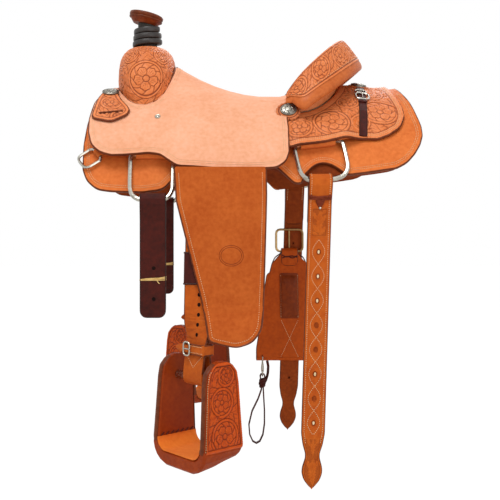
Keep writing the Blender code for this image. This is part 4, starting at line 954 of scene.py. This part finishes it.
# Latigo leather is tanned dark red with alum and oil: dull, waxy, darker still along its edges.
latigo = hide("dark_latigo_leather", "4E150B", "340C06", 0.5, shine=0.12, lift=0.12)
latigo_edge = hide("waxed_latigo_edge", "33140F", "270F0B", 0.45, shine=0.2)


def loop_box(x, y, half_x, half_y, round_by=2.5):
    """A rectangle with rounded corners, as a closed line."""
    corners = [(x + a * half_x, y + b * half_y) for a, b in ((-1, -1), (1, -1), (1, 1), (-1, 1))]
    return even(corners, round_by, True)


for word, side in SIDES:
    start, end = np.array([304.0, 44.0]), np.array([282.5, 229.0])
    along = (end - start) / np.linalg.norm(end - start)
    across = np.array([along[1], -along[0]])

    def place(a, s, t, s_way=side, start=start, along=along, across=across):
        """Across the strap, down along it and up from its face, on the rear jockey."""
        a, s, t = floats(a, s, t)
        x, drop = start[0] + across[0] * a + along[0] * s, start[1] + across[1] * a + along[1] * s
        return on_form(x, drop * s_way, jockey_high(x, drop) + 4.0 + t)

    dressed(word + "_rear_strap", latigo)
    length = float(np.linalg.norm(end - start))
    make(word + "_rear_strap_edge", *joined([rim(place, even([(a, 0), (a, length)], 4.0), -2.8, 0.0,
                                                 closed=False, wide=1.2) for a in (-7.5, 7.5)]), latigo_edge,
         "saddle", "dark_leather")
    frame_line = loop_box(0, 66, 14.5, 15.0)
    up = place(0.0, 66.0, 5.0) - place(0.0, 66.0, 0.0)
    path = place(frame_line[:, 0], frame_line[:, 1], 1.9)
    ring = tube(path, up / np.linalg.norm(up), 0.0024, 0.0018, 8)
    small = loop_box(-2, 40, 12.0, 8.0)
    small = tube(place(small[:, 0], small[:, 1], 1.6), up / np.linalg.norm(up), 0.0016, 0.0016, 8)
    tongue = np.stack([np.zeros(10), np.linspace(53, 80, 10)], -1)
    prong = tube(place(tongue[:, 0], tongue[:, 1], 3.4 + np.sin(np.linspace(0, np.pi, 10))), up, 0.0014,
                 0.0012, 8, False)
    make(word + "_rear_buckle", *joined([ring, small, prong]), steel, "saddle", "steel")
    keeper = even([(-9.8, 90), (9.8, 90)], 2.0)
    make(word + "_rear_strap_keeper", *tube(place(keeper[:, 0], keeper[:, 1], 1.6),
                                            place(0.0, 91.0, 0.0) - place(0.0, 90.0, 0.0), 0.0016, 0.004, 8,
                                            False), latigo, "saddle", "dark_leather")

# Latigo and off billet: doubled dark straps on the front dees, punched, tied with a strand of raffia.
# Flank billets: light straps on the rear dees, laced below the dee, tooled, and stitched round eight holes.


def arc(x, y, radius, first, last, pieces):
    """Points of an arc round (x, y), angles in degrees."""
    turn = np.radians(np.linspace(first, last, pieces + 1))
    return [(x + radius * math.cos(t), y + radius * math.sin(t)) for t in turn]


def strap_place(x0, out0, z0, side, path, lean=0.0):
    """Placing function of a strap over a dee: x across, s along its path in (out, up), t from its middle."""
    path = np.array(path, float)
    length = np.concatenate([[0], np.cumsum(np.linalg.norm(np.diff(path, axis=0), axis=1))])
    way = np.gradient(path, axis=0)
    way /= np.linalg.norm(way, axis=1)[:, None]

    def put(x, s, t):
        """The path's point at the length s, moved by t along its left normal, and by the strap's lean."""
        x, s, t = floats(x, s, t)
        out, up, way_out, way_up = [np.interp(s, length, q) for q in (*path.T, *way.T)]
        out, up = out - way_up * t, up + way_out * t
        return np.stack([x0 + x + lean * np.minimum(0.0, up), side * (out0 + out), z0 + up], -1) * 0.001

    return put, float(length[-1])


def over_dee(radius, lift, behind, back, before, front):
    """Path of a strap that rises behind a dee's lower end, folds over it and hangs in front."""
    return ([(-behind, -back), (-behind, -42), (-radius, -8)] + arc(0, lift, radius, 180, 0, 12)
            + [(radius, -8), (before, -42), (before, -front)])


# Raffia: a pale dry strand with lengthwise fibres, tied round and knotted.
raffia = hide("dry_raffia_strand", "EBCB86", "C79E58", 0.7, nap=0.2)
shadow_hole = hide("shaded_punched_hole", "1E0D09", "140806", 0.9)
for name, side in (("near_latigo", -1), ("off_billet", 1)):
    put, length = strap_place(-153, 255.1, -191.0, side, over_dee(10.0, 2.6, 2.7, 226, 2.7, 236))
    dressed(name, latigo)
    outline = [(-25, 0), (25, 0), (25, length - 8), (18, length), (-18, length), (-25, length - 8)]
    make(name + "_edge", *rim(put, even(outline, 3.0, True, 3.0), -2.4, 2.4, wide=1.5), latigo_edge,
         name + "_body", "dark_leather")
    spots = [disc(put, 2, length - s, 2.5, [(2.8, -0.6), (3.8, 0.15), (3.4, 0.3), (0.2, 0.25)],
                  16) for s in (37, 99)]
    make(name + "_holes", *joined(spots), shadow_hole, name + "_body", "dark_leather")
    ties = []
    for z, half, tilt in ((-350, 26.4, 2.0), (-352, 26.4, 0.5), (-348.5, 26.3, 3.0)):
        turn = np.linspace(0, 2 * np.pi, 60, endpoint=False)
        ring = np.stack([-153 + half * signed_power(np.cos(turn), 0.5),
                         side * (255.1 + 6.3 * signed_power(np.sin(turn), 0.5)),
                         z + tilt * np.cos(turn)], -1)
        ties.append(tube(ring * 0.001, (0, 0, 1), 0.0009, 0.0011, 6))
    tail = np.stack([np.linspace(-146, -139, 8), np.full(8, side * 262.4),
                     -350 - 9 * np.sin(np.linspace(0, 1.4, 8))], -1)
    ties.append(tube(tail * 0.001, (0, 0, 1), 0.0009, 0.0009, 6, False))
    make(name + "_raffia_tie", *joined(ties), raffia, name + "_body", "dark_leather")

# Light strap leather, oiled once, its edges rubbed brown; the lace is darker. The holes are sunken discs with
# raised rims in painted shade, and some show pale rawhide. The off billet is the same leather painted darker:
# painted shade.
lace_leather = hide("oiled_lace_leather", "843820", "662612", 0.5, lift=0.12)
# A darker copy of the light strap leather: painted shade.
painted_shade_leather = hide("painted_shade_strap_leather", "A04612", "82340A", 0.55)
billet_leather = hide("light_strap_leather", "C8621C", "B44E12", 0.55, nap=0.02)
strap_tooled = hide("tooled_strap_leather", "CE6820", "B85414", 0.5, lift=0.08, cut="742C0C")
rawhide = hide("pale_rawhide_eyelet", "F4E3C4", "DCC294", 0.6)


def leaf_shape(u, v, x, y, long, wide, turn):
    """Height and tint of one acanthus leaf: an almond with a midrib and side cuts, barbed along its rim."""
    a = (u - x) * math.cos(turn) + (v - y) * math.sin(turn)
    b = -(u - x) * math.sin(turn) + (v - y) * math.cos(turn) + wide * 0.25 * (a / long) ** 2
    half = wide * np.clip(1 - (a / long) ** 2, 0, 1) * (0.85 + 0.15 * np.cos(a * 1.1))
    inside = ramp(half - np.abs(b), -0.2, 0.9)
    rib = ramp(np.abs(b), 1.1, 0.4)
    cuts = np.clip(np.cos(1.3 * a + 0.9 * np.abs(b)), 0, 1) ** 2 * ramp(np.abs(b), 0.8, 2.0)
    return inside * (0.95 - 0.55 * rib - 0.3 * cuts), inside


def leaves(u, v, each):
    """Height of several leaves, each lying over the ones before it."""
    height = np.zeros(u.shape)
    for leaf in each:
        one, inside = leaf_shape(u, v, *leaf)
        height = np.where(inside > 0.5, one, height * (1 - inside))
    return height


HOLE_PITCH = 49.6
for word, side in SIDES:
    put, length = strap_place(187, 240.0, -153.0, side,
                              over_dee(10.0, 2.8, 5.6, 92, 0.8, 560) + [(0.8, -625)], 0.03)
    body = word + "_flank_billet_body"
    fold = length - 625
    # The off billet gets the darker copy of the strap leather: painted shade, as it hangs in the saddle's shade.
    dressed(word + "_flank_billet", billet_leather if side < 0 else painted_shade_leather)
    right = [(22.8, 0), (22.8, fold + 512), (19, fold + 535), (13.5, fold + 552), (13.5, fold + 562),
             (19, fold + 580), (20, fold + 592), (15, fold + 606), (0, length)]
    outline = right + [(-x, s) for x, s in reversed(right[:-1])]
    make(word + "_flank_billet_edge", *rim(put, even(outline, 3.0, True), -3.0, 3.0, wide=1.5), burnished,
         body, "plain_leather")
    rows = [seam(put, even([(a, 60), (a, fold + 508), (a * 0.8, fold + 532)], 4.0), 3.1)
            for a in (-18.8, 18.8)]
    s = np.linspace(fold + 118, fold + 515, 300)
    swing = 12.5 * np.sin(np.pi * (s - fold - 118.2) / HOLE_PITCH)
    rows += [seam(put, np.stack([k * swing, s], -1), 3.1, pitch=4.0) for k in (-1, 1)]
    sewn(word + "_flank_billet_stitches", rows, body)
    # Each hole is a sunken disc with a raised rim in the darker copy of the strap leather: painted shade in the
    # hole.
    spots = [disc(put, 0.0, fold + 143 + HOLE_PITCH * k, 3.1,
                  [(3.0, -0.8), (3.4, 0.3), (4.4, 0.7), (4.8, 0.1)], 20,
                  1.3)
             for k in range(8)]
    make(word + "_flank_billet_eyelets", *joined(spots), painted_shade_leather, body, "plain_leather")
    slots = [disc(put, 0.0, fold + 143 + HOLE_PITCH * k, 3.4,
                  [(2.0, 0.0), (2.2, 0.5), (1.8, 0.7), (0.1, 0.72)], 16,
                  1.7)
             for k in (0, 1, 2, 5, 7)]
    make(word + "_flank_billet_slots", *joined(slots), rawhide, body, "plain_leather")
    u, v = np.meshgrid(np.arange(-16.0, 16.1, 1.0), np.arange(fold + 54, fold + 113, 1.0), indexing="ij")
    height = leaves(u, v, [(x, fold + y, long, wide, turn) for x, y, long, wide, turn in
                           ((0, 84, 27, 8, 1.57), (-8, 72, 13, 5, 0.9), (8, 76, 13, 5, 2.2),
                            (-8, 96, 13, 5, 0.9),
                            (8, 99, 13, 5, 2.2), (-9, 106, 8, 4, 0.4), (9, 62, 9, 4, 2.6))])
    frame_in = np.minimum(16.0 - np.abs(u), np.minimum(v - fold - 54, fold + 112 - v))
    line = ramp(np.abs(frame_in - 2.0), 1.4, 0.4)
    field = ramp(frame_in, 2.0, 3.0)
    # Tinted darker the lower the leaves lie: partly the tooling's own darkening, partly painted shade.
    tint = 0.45 * np.clip(0.95 - 1.4 * height, 0, 1) * field + 0.5 * line
    height = (height * field + (1 - field) * 0.8) * (1 - 0.7 * line)
    make(word + "_flank_billet_tooling", put(u, v, 3.1 + 0.75 * height), grid_faces(*u.shape), strap_tooled,
         body,
         "tooled_leather", cut=np.clip(tint, 0, 1))
    u, v = np.meshgrid(np.linspace(-1, 1, 30), np.linspace(fold + 520, length - 4, 96), indexing="ij")
    half = np.interp(v, [fold + 520, fold + 535, fold + 552, fold + 562, fold + 580, fold + 592, fold + 606,
                         length],
                     [20.5, 17.5, 12, 12, 17.5, 18.5, 13.5, 1.0])
    u = u * half
    height = leaves(u, v, [(x, fold + y, long, wide, turn) for x, y, long, wide, turn in
                           ((0, 590, 30, 9, 1.57), (-8, 575, 14, 4.5, 1.1), (8, 575, 14, 4.5, 2.04),
                            (0, 540, 20, 5, 1.57), (-8, 530, 12, 4, 1.2), (8, 530, 12, 4, 1.94))])
    line = ramp(np.abs(np.abs(u) / half - 0.86), 0.08, 0.03)
    field = ramp(np.abs(u) / half, 0.88, 0.82)
    # Tinted darker the lower the leaves lie: partly the tooling's own darkening, partly painted shade.
    tint = 0.45 * np.clip(0.95 - 1.4 * height, 0, 1) * field * ramp(v, fold + 520, fold + 526)
    height = (height * field + (1 - field) * 0.8) * (1 - 0.7 * line)
    make(word + "_flank_billet_tip_tooling", put(u, v, 3.1 + 0.75 * height), grid_faces(*u.shape),
         strap_tooled, body,
         "tooled_leather", cut=np.clip(np.maximum(tint, 0.8 * line), 0, 1))
    laces = []
    for path in ([(-23, 32), (-14, 30), (-5, 32), (4, 31), (14, 30), (23, 32)],
                 [(-23, 34), (-10, 35), (0, 33), (11, 36), (23, 35)]):
        line = even(path, 1.5)
        laces.append(tube(put(line[:, 0], fold + line[:, 1], 4.2),
                          put(0.0, fold + 30, 9.0) - put(0.0, fold + 30, 4.0),
                          0.0022, 0.0014, 8, False))
    laces.append(disc(put, -19.0, fold + 30, 3.2, [(4.0, 0), (4.2, 1.6), (3.0, 3.0), (0.3, 3.4)], 18))
    laces.append(disc(put, 19.0, fold + 30, 3.2, [(4.0, 0), (4.2, 1.6), (3.0, 3.0), (0.3, 3.4)], 18))
    make(word + "_flank_billet_lace", *joined(laces), lace_leather, body, "dark_leather")
    heart = even([(-10.5, 34), (0, 37), (10.5, 34), (8, 44), (0, 57), (-8, 44)], 2.0, True, 3.0)
    share = np.array([1.0, 1.0, 0.9, 0.4, 0.02])
    rise = np.array([3.1, 4.5, 5.2, 5.5, 5.6])
    points = put(heart[None, :, 0] * share[:, None], fold + 42 + (heart[None, :, 1] - 42) * share[:, None],
                 rise[:, None])
    heart_part = (points.reshape(-1, 3), grid_faces(5, len(heart), False, True))
    rivet = disc(put, 0.0, fold + 54, 4.6, [(2.4, -0.3), (2.3, 0.8), (0.2, 1.2)], 14)
    make(word + "_flank_billet_heart", *heart_part, lace_leather, body, "dark_leather")
    make(word + "_flank_billet_rivet", *rivet, steel, body, "steel")

# Flank cinch, hung for storage on the off billet: a wide oiled leather folded at its lower edge, with its roller
# buckle, a dark keeper panel sewn on, X stitching, and a connector strap on a snap.

CINCH_PATH = ([(222.5, -352), (222.5, -320)] + arc(228.4, -316, 5.9, 180, 0, 6)
              + [(234.2, -334), (234.2, -404), (234.2, -461), (234.2, -590)]
              + arc(229.6, -590.5, 4.6, 0, -180, 6) + [(225.0, -567), (225.0, -370)])
cinch_leather = hide("oiled_cinch_leather", "C0520E", "A84209", 0.55, shine=0.05)
put, length = strap_place(172, 0.0, 0.0, 1, CINCH_PATH)
dressed("flank_cinch", cinch_leather)
# The cinch's roller buckle is old brass, its colour drifting between brown and pale.
brass = toned("aged_brass", "8A6A40", "C0A070", 180.0, 0.38)
dressed("cinch_buckle", brass)
fold = length - 220.5 - math.pi * 4.6 - 590
right = [(20, 0), (20, 60), (36, fold + 330), (44, fold + 348), (58, fold + 404), (67, fold + 461),
         (84, fold + 567),
         (84, fold + 590 + 14.5 + 22), (66, length - 60), (58, length - 6), (50, length)]
outline = right + [(-x, s) for x, s in reversed(right)]
make("flank_cinch_edge", *rim(put, even(outline, 3.0, True), -2.5, 2.5, wide=1.5), burnished,
     "flank_cinch_body", "plain_leather")
rows = []
for k in (-1, 1):
    rows.append(seam(put, np.array([(k * 16, fold + 320), (k * 40, fold + 350), (k * 61, fold + 461),
                                    (k * 78, fold + 567), (k * 78, fold + 588)]), 2.6))
sewn("flank_cinch_stitches", rows, "flank_cinch_body")

# A thin facing covers the side towards the horse from the buckle to the fold; the keeper is sewn on it.


def facing(x, drop, h):
    """A place on the facing: x from the cinch's middle, drop below the centreline, h towards the horse."""
    x, drop, h = floats(x, drop, h)
    return np.stack([172 + x, 222.2 - h, -drop], -1) * 0.001


down, share = np.meshgrid(np.linspace(322, 588, 60), np.linspace(-1, 1, 30), indexing="ij")
half = np.interp(down, [322, 330, 348, 404, 461, 567, 590], [19, 26, 43, 57, 66, 83, 83])
sheets = [(facing(half * share, down, h).reshape(-1, 3), grid_faces(*share.shape)[:, ::way])
          for h, way in ((0.3, 1), (-0.9, -1))]
right = np.stack([np.interp(np.linspace(322, 588, 80), [322, 330, 348, 404, 461, 567, 590],
                            [19, 26, 43, 57, 66, 83, 83]), np.linspace(322, 588, 80)], -1)
line = np.vstack([right, (right * (-1, 1))[::-1]])
sheets.append(rim(facing, line, -1.4, 0.6, wide=1.4))
make("flank_cinch_facing", *joined(sheets), cinch_leather, "flank_cinch_body", "plain_leather")
keeper_leather = hide("dark_keeper_leather", "8C3806", "6C2602", 0.45, shine=0.1)
line = even([(-26, 372), (22, 372), (24, 488), (-24, 488)], 2.0, True, 3.0)
middle = np.array([[0, 430]])
shares = np.array([1.0, 1.0, 0.94, 0.86, 0.8, 0.4, 0.02])
rises = np.array([0.2, 1.8, 2.2, 3.4, 6.0, 7.0, 7.2])
flat = middle + (line - middle)[None] * shares[:, None, None]
points = facing(flat[..., 0], flat[..., 1], rises[:, None]).reshape(-1, 3)
make("flank_cinch_keeper", points, grid_faces(7, len(line), False, True), keeper_leather, "flank_cinch_body",
     "dark_leather")
rows = [seam(facing, np.array([(-23, 376), (-22, 484)]), 2.2),
        seam(facing, np.array([(20, 376), (21.5, 484)]), 2.2),
        seam(facing, np.array([(-22, 492), (22, 586)]), 0.4),
        seam(facing, np.array([(22, 492), (-22, 586)]), 0.4)]
sewn("flank_cinch_keeper_stitches", rows, "flank_cinch_body")
lace = []
for path in ([(-19, 326), (-8, 331), (4, 327), (19, 331)], [(-19, 333), (-6, 328), (8, 334), (19, 327)]):
    line = even(path, 1.5)
    lace.append(tube(facing(line[:, 0], line[:, 1], 1.4), (0, 1, 0), 0.0021, 0.0013, 8, False))
make("flank_cinch_lace", *joined(lace), latigo, "flank_cinch_body", "dark_leather")
tongue = np.array([(172, 229.5, -308), (172, 232.8, -300), (172, 232.6, -285), (172, 231.9, -270),
                   (172, 232.4, -257)])
make("cinch_buckle_tongue", *joined([tube(even(tongue, 2.0) * 0.001, (0, 1, 0), 0.0019, 0.0016, 8, False),
                                     tube(np.array([(153, 228.4, -316), (191, 228.4, -316)]) * 0.001,
                                          (0, 1, 0), 0.0044, 0.0044, 16, False)]), brass, "flank_cinch_body",
     "steel")

# Connector strap: a long dark loop, knotted under the snap that clips through the cinch's eyelet.
dressed("connector_strap", latigo)
dressed("connector_snap", steel)
knot = []
for height, half, high in ((-648, 7.0, 4.0), (-655, 8.0, 4.6), (-662, 6.6, 4.0)):
    t = np.linspace(0, 2 * np.pi, 30, endpoint=False)
    ring = np.stack([102.6 + half * np.cos(t), 229.6 + 7.0 * np.sin(t), height + 1.6 * np.cos(t)], -1) * 0.001
    knot.append(tube(ring, (0, 0, 1), 0.0017, high * 0.001, 8))
tail = even([(104, 233, -662), (112, 234, -650), (117, 233, -632), (118, 231, -612), (115, 230, -598)],
            3.0) * 0.001
knot.append(tube(tail, (0, 1, 0), 0.0034, 0.0013, 8, False))
make("connector_knot", *joined(knot), latigo, "connector_body", "dark_leather")
barrel = [(9.0, 0.0022), (0.0, 0.0036), (-7, 0.0040), (-14, 0.0036), (-17, 0.0022)]
line = np.array([(103, 229.6, -611 + z) for z, r in barrel]) * 0.001
radii = [r for z, r in barrel][::-1]
make("connector_snap_barrel", *tube(line[::-1], (0, 1, 0), radii, radii, 16, False), steel, "connector_body",
     "steel")
eyelet = [(4.4, -0.5), (4.6, 0.6), (6.2, 1.2), (8.0, 0.5), (8.2, 0.0)]
make("flank_cinch_eyelet", *disc(put, 103 - 172, fold + 580, 2.5, eyelet, 24), steel, "flank_cinch_body", "steel")

# Fenders: wide rough-out leathers that hang outside the stirrup leathers, their edges rolled and burnished, open
# at the top, with a row of stitches inside them. The stirrup leathers run behind them, punched, and turn by 50
# degrees towards the stirrup.

# The stirrup's bolt: its place along the saddle, out from the centreline and up, and the turn of the leathers.
BOLT_X, BOLT_OUT, BOLT_Z, TURN = -63, 272, -547, math.radians(50)


def leather_turn(z):
    """How far the stirrup leather has turned at a height: up to TURN, eased from z = -400 to -480."""
    return TURN * eased((-400 - z) / 80)


def fender_place(side):
    """The fender's middle surface: its distance from the centreline by height, plus 29 sin of the turn."""
    def put(x, z, t):
        x, z, t = floats(x, z, t)
        out = np.interp(z, [-480, -280, -230, -190, -160, -129], [279.5, 279.5, 278, 273.5, 268, 262])
        return np.stack([x, side * (out + 29 * np.sin(leather_turn(z)) + t), z], -1) * 0.001
    return put


def turned_place(side):
    """Places across and outward of the stirrup leather's middle at a height, in its turned frame."""
    def put(across, outward, z):
        across, outward, z = floats(across, outward, z)
        x = np.interp(z, [BOLT_Z, -150], [BOLT_X, -55])
        out = np.interp(z, [BOLT_Z, -430, -215, -150], [BOLT_OUT, 269.5, 269.5, 254.5])
        turn = leather_turn(z)
        return np.stack([x + across * np.cos(turn) - outward * np.sin(turn),
                         side * (out + across * np.sin(turn) + outward * np.cos(turn)), z], -1) * 0.001
    return put


# The fenders' rough-out is painted darker than the seat's: partly its own tone, partly painted shade, as they
# hang sideways under the seat.
fender_leather = hide("rough_out_fender_leather", "C56225", "B04E18", 0.85, nap=0.06, grain=1.1, lift=0.25)
FENDER = [(-109, -124), (-108, -137), (-104, -193), (-91, -244), (-78, -295), (-65, -346), (-55, -384),
          (-47, -423), (-40, -469),
          (-19, -474), (14, -481), (44, -471), (62, -448), (66, -418), (69, -346), (72, -244), (74, -180),
          (74, -137), (74, -124)]
for word, side in SIDES:
    put = fender_place(side)
    body = word + "_fender_body"
    dressed(word + "_fender", fender_leather)
    dressed(word + "_stirrup_leather", billet_leather)
    dressed(word + "_leather_hanger", billet_leather)
    line = even(FENDER, 3.0, True, 12.0)
    top = np.argmax(line[:, 1])
    hanging = np.roll(line, -top, 0)
    hanging = hanging[hanging[:, 1] < -127]
    make(word + "_fender_edge", *rim(put, hanging, -2.5, 2.5, closed=False, wide=2.4, proud=0.4), burnished,
         body, "plain_leather")
    row = np.roll(inset(line, 7.0), -top, 0)
    row = row[row[:, 1] < -134]
    rows = [seam(put, row, 2.6, height=0.8), seam(put, row, -2.6, height=-0.8)]
    sewn(word + "_fender_stitches", rows, body)
    t = np.linspace(0, 2 * np.pi, 60, endpoint=False)
    ovals = [np.stack([4.0 + a * np.cos(t), -302 + b * np.sin(t)], -1) for a,
             b in ((24.0, 20.5), (20.5, 17.0))]
    make(word + "_fender_oval", *joined([rim(put, oval, 1.6, 2.4, wide=0.9) for oval in ovals]),
         keeper_leather, body, "rough_out_leather")
    swing = turned_place(side)
    across = np.array([-28.4, 28.4])
    z = np.linspace(-150, -534, 160)
    edges = []
    for a in across:
        for t0 in (1, -1):
            out = np.interp(z, [-535, -470, -150], [11.75, 2.6, 2.6]) * t0
            path = swing(a, out, z)
            edges.append(tube(path, swing(a, out + t0, z) - path, 0.0014, 0.0025, 8, False))
    make(word + "_stirrup_leather_edge", *joined(edges), burnished, body, "plain_leather")
    spots = []
    for z0 in (-380, -400, -420, -440, -460):
        t = np.linspace(0, 2 * np.pi, 14, endpoint=False)
        for t0 in (5.1, -5.1):
            flat = np.stack([3.2 * np.cos(t), z0 + 4.0 * np.sin(t)], -1)
            ring = swing(flat[:, 0], t0, flat[:, 1])
            mid = swing(0.0, t0 * 1.02, z0)
            spots.append((np.vstack([ring, mid]), [(k, (k + 1) % 14, 14) for k in range(14)]))
    make(word + "_stirrup_leather_holes", *joined(spots), shadow_hole, body, "dark_leather")

    # The quick-change sleeve of sheet steel is covered with dark leather.
    dressed(word + "_leather_sleeve", latigo)
    for z0 in (-296.5, -358.5):
        t = np.linspace(0, 2 * np.pi, 70, endpoint=False)
        a, b = 31.6 * signed_power(np.cos(t), 0.35), 7.0 * signed_power(np.sin(t), 0.35)
        make(word + ("_sleeve_top_edge" if z0 > -300 else "_sleeve_low_edge"),
             *tube(swing(a, b, z0), (0, 0, 1), 0.0012, 0.0016, 8), latigo_edge,
             word + "_sleeve_body", "dark_leather")

    # Hobble strap: a light strap buckled round the turned leathers above the stirrup.
    dressed(word + "_hobble_strap", billet_leather)
    t = np.linspace(0, 2 * np.pi, 90, endpoint=False)
    a, b = 32.7 * signed_power(np.cos(t), 0.3), 15.1 * signed_power(np.sin(t), 0.4)
    edges = [tube(swing(a, b, z0), (0, 0, 1), 0.0011, 0.0014, 8) for z0 in (-478.3, -497.7)]
    make(word + "_hobble_edge", *joined(edges), burnished, body, "plain_leather")
    face = lambda x, zz, h, s=swing: s(x, h, zz)
    sewn(word + "_hobble_stitches",
         [seam(face, np.array([(-30, zz), (30, zz)]), 15.2, length=2.6) for zz in (-481.5, -494.5)], body)
    a = np.array([-10.0, -20.0, -30.0, -38.0, -43.0, -47.0, -49.0])
    make(word + "_hobble_tail", *tube(swing(a, 17.0 + 0 * a, -488.0 + 0 * a), (0, 0, 1), 0.0014,
                                      np.array([7.6, 7.6, 7.6, 7.4, 6.0, 3.4, 0.8]) * 0.001, 12, False),
         billet_leather, body, "plain_leather")
    ply = lambda x, zz, h, p=swing: p(x, np.interp(zz, [-535, -470], [11.75, 2.6]) + 2.35 + h, zz)
    sewn(word + "_stirrup_leather_stitches",
         [seam(ply, np.array([(-23, -501), (0, -524), (23, -501)]), 0.1, length=3.0)], body)
    box = loop_box(-14, -488, 9.5, 13.5)
    ring = tube(swing(box[:, 0], 19.0, box[:, 1]), swing(0, 9.0, -488.0) - swing(0, 4.0, -488.0), 0.0018,
                0.0015, 8)
    line = even([(-24, -488), (-2, -488)], 2.0)
    prong = tube(swing(line[:, 0], 20.4, line[:, 1]), swing(0, 9.0, -488.0) - swing(0, 4.0, -488.0), 0.0013,
                 0.0011, 8, False)
    make(word + "_hobble_buckle", *joined([ring, prong]), steel, body, "steel")

# Stirrups: a bent wooden frame covered in leather, tooled on the outside of both branches inside a raised border,
# smooth inside, with a wide rough-out tread laced at its ends.


def stirrup_place(side):
    """Places in the stirrup's own frame, turned by TURN about the bolt's middle."""
    def put(across, front, z):
        across, front, z = floats(across, front, z)
        c, s = math.cos(TURN), math.sin(TURN)
        x, out = BOLT_X + across * c - front * s, BOLT_OUT + across * s + front * c
        return np.stack([x, side * out, z], -1) * 0.001
    return put


stirrup_leather = hide("smooth_stirrup_leather", "A23E08", "8C3004", 0.5, shine=0.08)
stirrup_tooled = hide("tooled_stirrup_leather", "D2560E", "BC4409", 0.42, shine=0.12, lift=0.08, cut="561804")
tread_leather = hide("rough_out_tread", "F88A32", "EE7826", 0.85, nap=0.06, grain=1.1)
BRANCH_Z = [-504.5, -507, -514, -526, -547, -610, -668, -692]
BRANCH_HALF = [6, 17, 28, 38, 42, 46, 50, 51]
FACE_Z, FACE_OUT = [-692, -668, -610, -547], [75, 80.2, 78.2, 76.2]
for word, side in SIDES:
    put = stirrup_place(side)
    body = word + "_stirrup_body"
    dressed(word + "_stirrup", stirrup_leather)
    for way, kind in ((1, "outer"), (-1, "inner")):
        z, share = np.meshgrid(np.linspace(-505.5, -676, 150), np.linspace(-0.93, 0.93, 76), indexing="ij")
        half = np.interp(z, BRANCH_Z[::-1], BRANCH_HALF[::-1])
        across = np.interp(z, [-692, -680, -668, -610, -547, -504.5], [74.6, 78.6, 80.2, 78.2, 76.2, 75.0])
        front = half * share
        height, tint = carve(front, z, [(-8, -531, 22, 0.4), (4, -582, 30, 1.3), (-2, -648, 37, 0.2)])
        inner = np.minimum(half * (1 - np.abs(share)), np.minimum(-505 - z, z + 677))
        field = ramp(inner, 8.4, 9.6)
        line = ramp(np.abs(inner - 8.0), 1.7, 0.5)
        ridge = ramp(np.abs(inner - 4.6), 3.2, 1.0)
        height = height * field + (1 - field) * (0.5 + 1.0 * ridge)
        height = height * (1 - 0.7 * line)
        face = put(way * (across + 0.35 + 1.7 * height), front, z)
        make(word + "_stirrup_tooling_" + kind, face, grid_faces(*z.shape), stirrup_tooled, body,
             "tooled_leather",
             cut=np.clip(np.maximum(tint * field, 0.8 * line), 0, 1))
        rows = []
        for k in (-1, 1):
            line_z = np.linspace(-520, -672, 60)
            flat = np.stack([k * (np.interp(line_z, BRANCH_Z[::-1], BRANCH_HALF[::-1]) - 2.6), line_z], -1)
            outer = lambda x, zz, h, w=way, p=put: p(w * (np.interp(zz, FACE_Z, FACE_OUT) + h), x, zz)
            rows.append(seam(outer, flat, 1.7))
        sewn(word + "_stirrup_stitches_" + kind, rows, body)
        edges = []
        for k in (-1, 1):
            line_z = np.linspace(-508, -676, 80)
            edge_half = np.interp(line_z, BRANCH_Z[::-1], BRANCH_HALF[::-1])
            a = np.interp(line_z, [-692, -668, -610, -547, -504.5], [68, 73, 71, 69, 68])
            edges.append(tube(put(way * a, k * edge_half, line_z), put(0, 1.0, 0) - put(0, 0, 0), 0.0058,
                              0.0018, 10, False))
        make(word + "_stirrup_rim_" + kind, *joined(edges), burnished, body, "plain_leather")

    # The tread's wrap of rough-out leather comes up at both ends and is laced with latigo.
    t, front = np.meshgrid(np.linspace(-1, 1, 120), np.linspace(-1, 1, 56), indexing="ij")
    angle = np.pi / 2 * np.clip((np.abs(t) - 0.36) / 0.64, 0, 1)
    a = np.sign(t) * (np.where(np.abs(t) < 0.36, 42 * np.abs(t) / 0.36, 42 + 24 * np.sin(angle)))
    z = np.where(np.abs(t) < 0.36, -692.0, -668 - 24 * np.cos(angle))
    nx, nz = np.sign(t) * np.sin(angle), -np.cos(angle)
    edge = 1 - ramp(np.abs(front), 0.9, 1.0)
    inside_lift = -0.6 * edge - 0.2
    depth = front * 50.6
    face = put(a + nx * inside_lift, depth, z + nz * inside_lift)
    make(word + "_tread_face", face, grid_faces(*t.shape), tread_leather, body, "plain_leather")
    laces = []
    for way in (-1, 1):
        for k in range(7):
            f = -38 + 12.6 * k
            line = even([(f - 4, 0.0), (f + 4, 1.0)], 1.5)
            laces.append(tube(put(way * (64.6 - 0.2 * line[:, 1]), line[:, 0], -662 - 5 * line[:, 1]),
                              put(way, 0, 0) - put(0, 0, 0), 0.0012, 0.0009, 6, False))
    make(word + "_tread_laces", *joined(laces), latigo, body, "dark_leather")
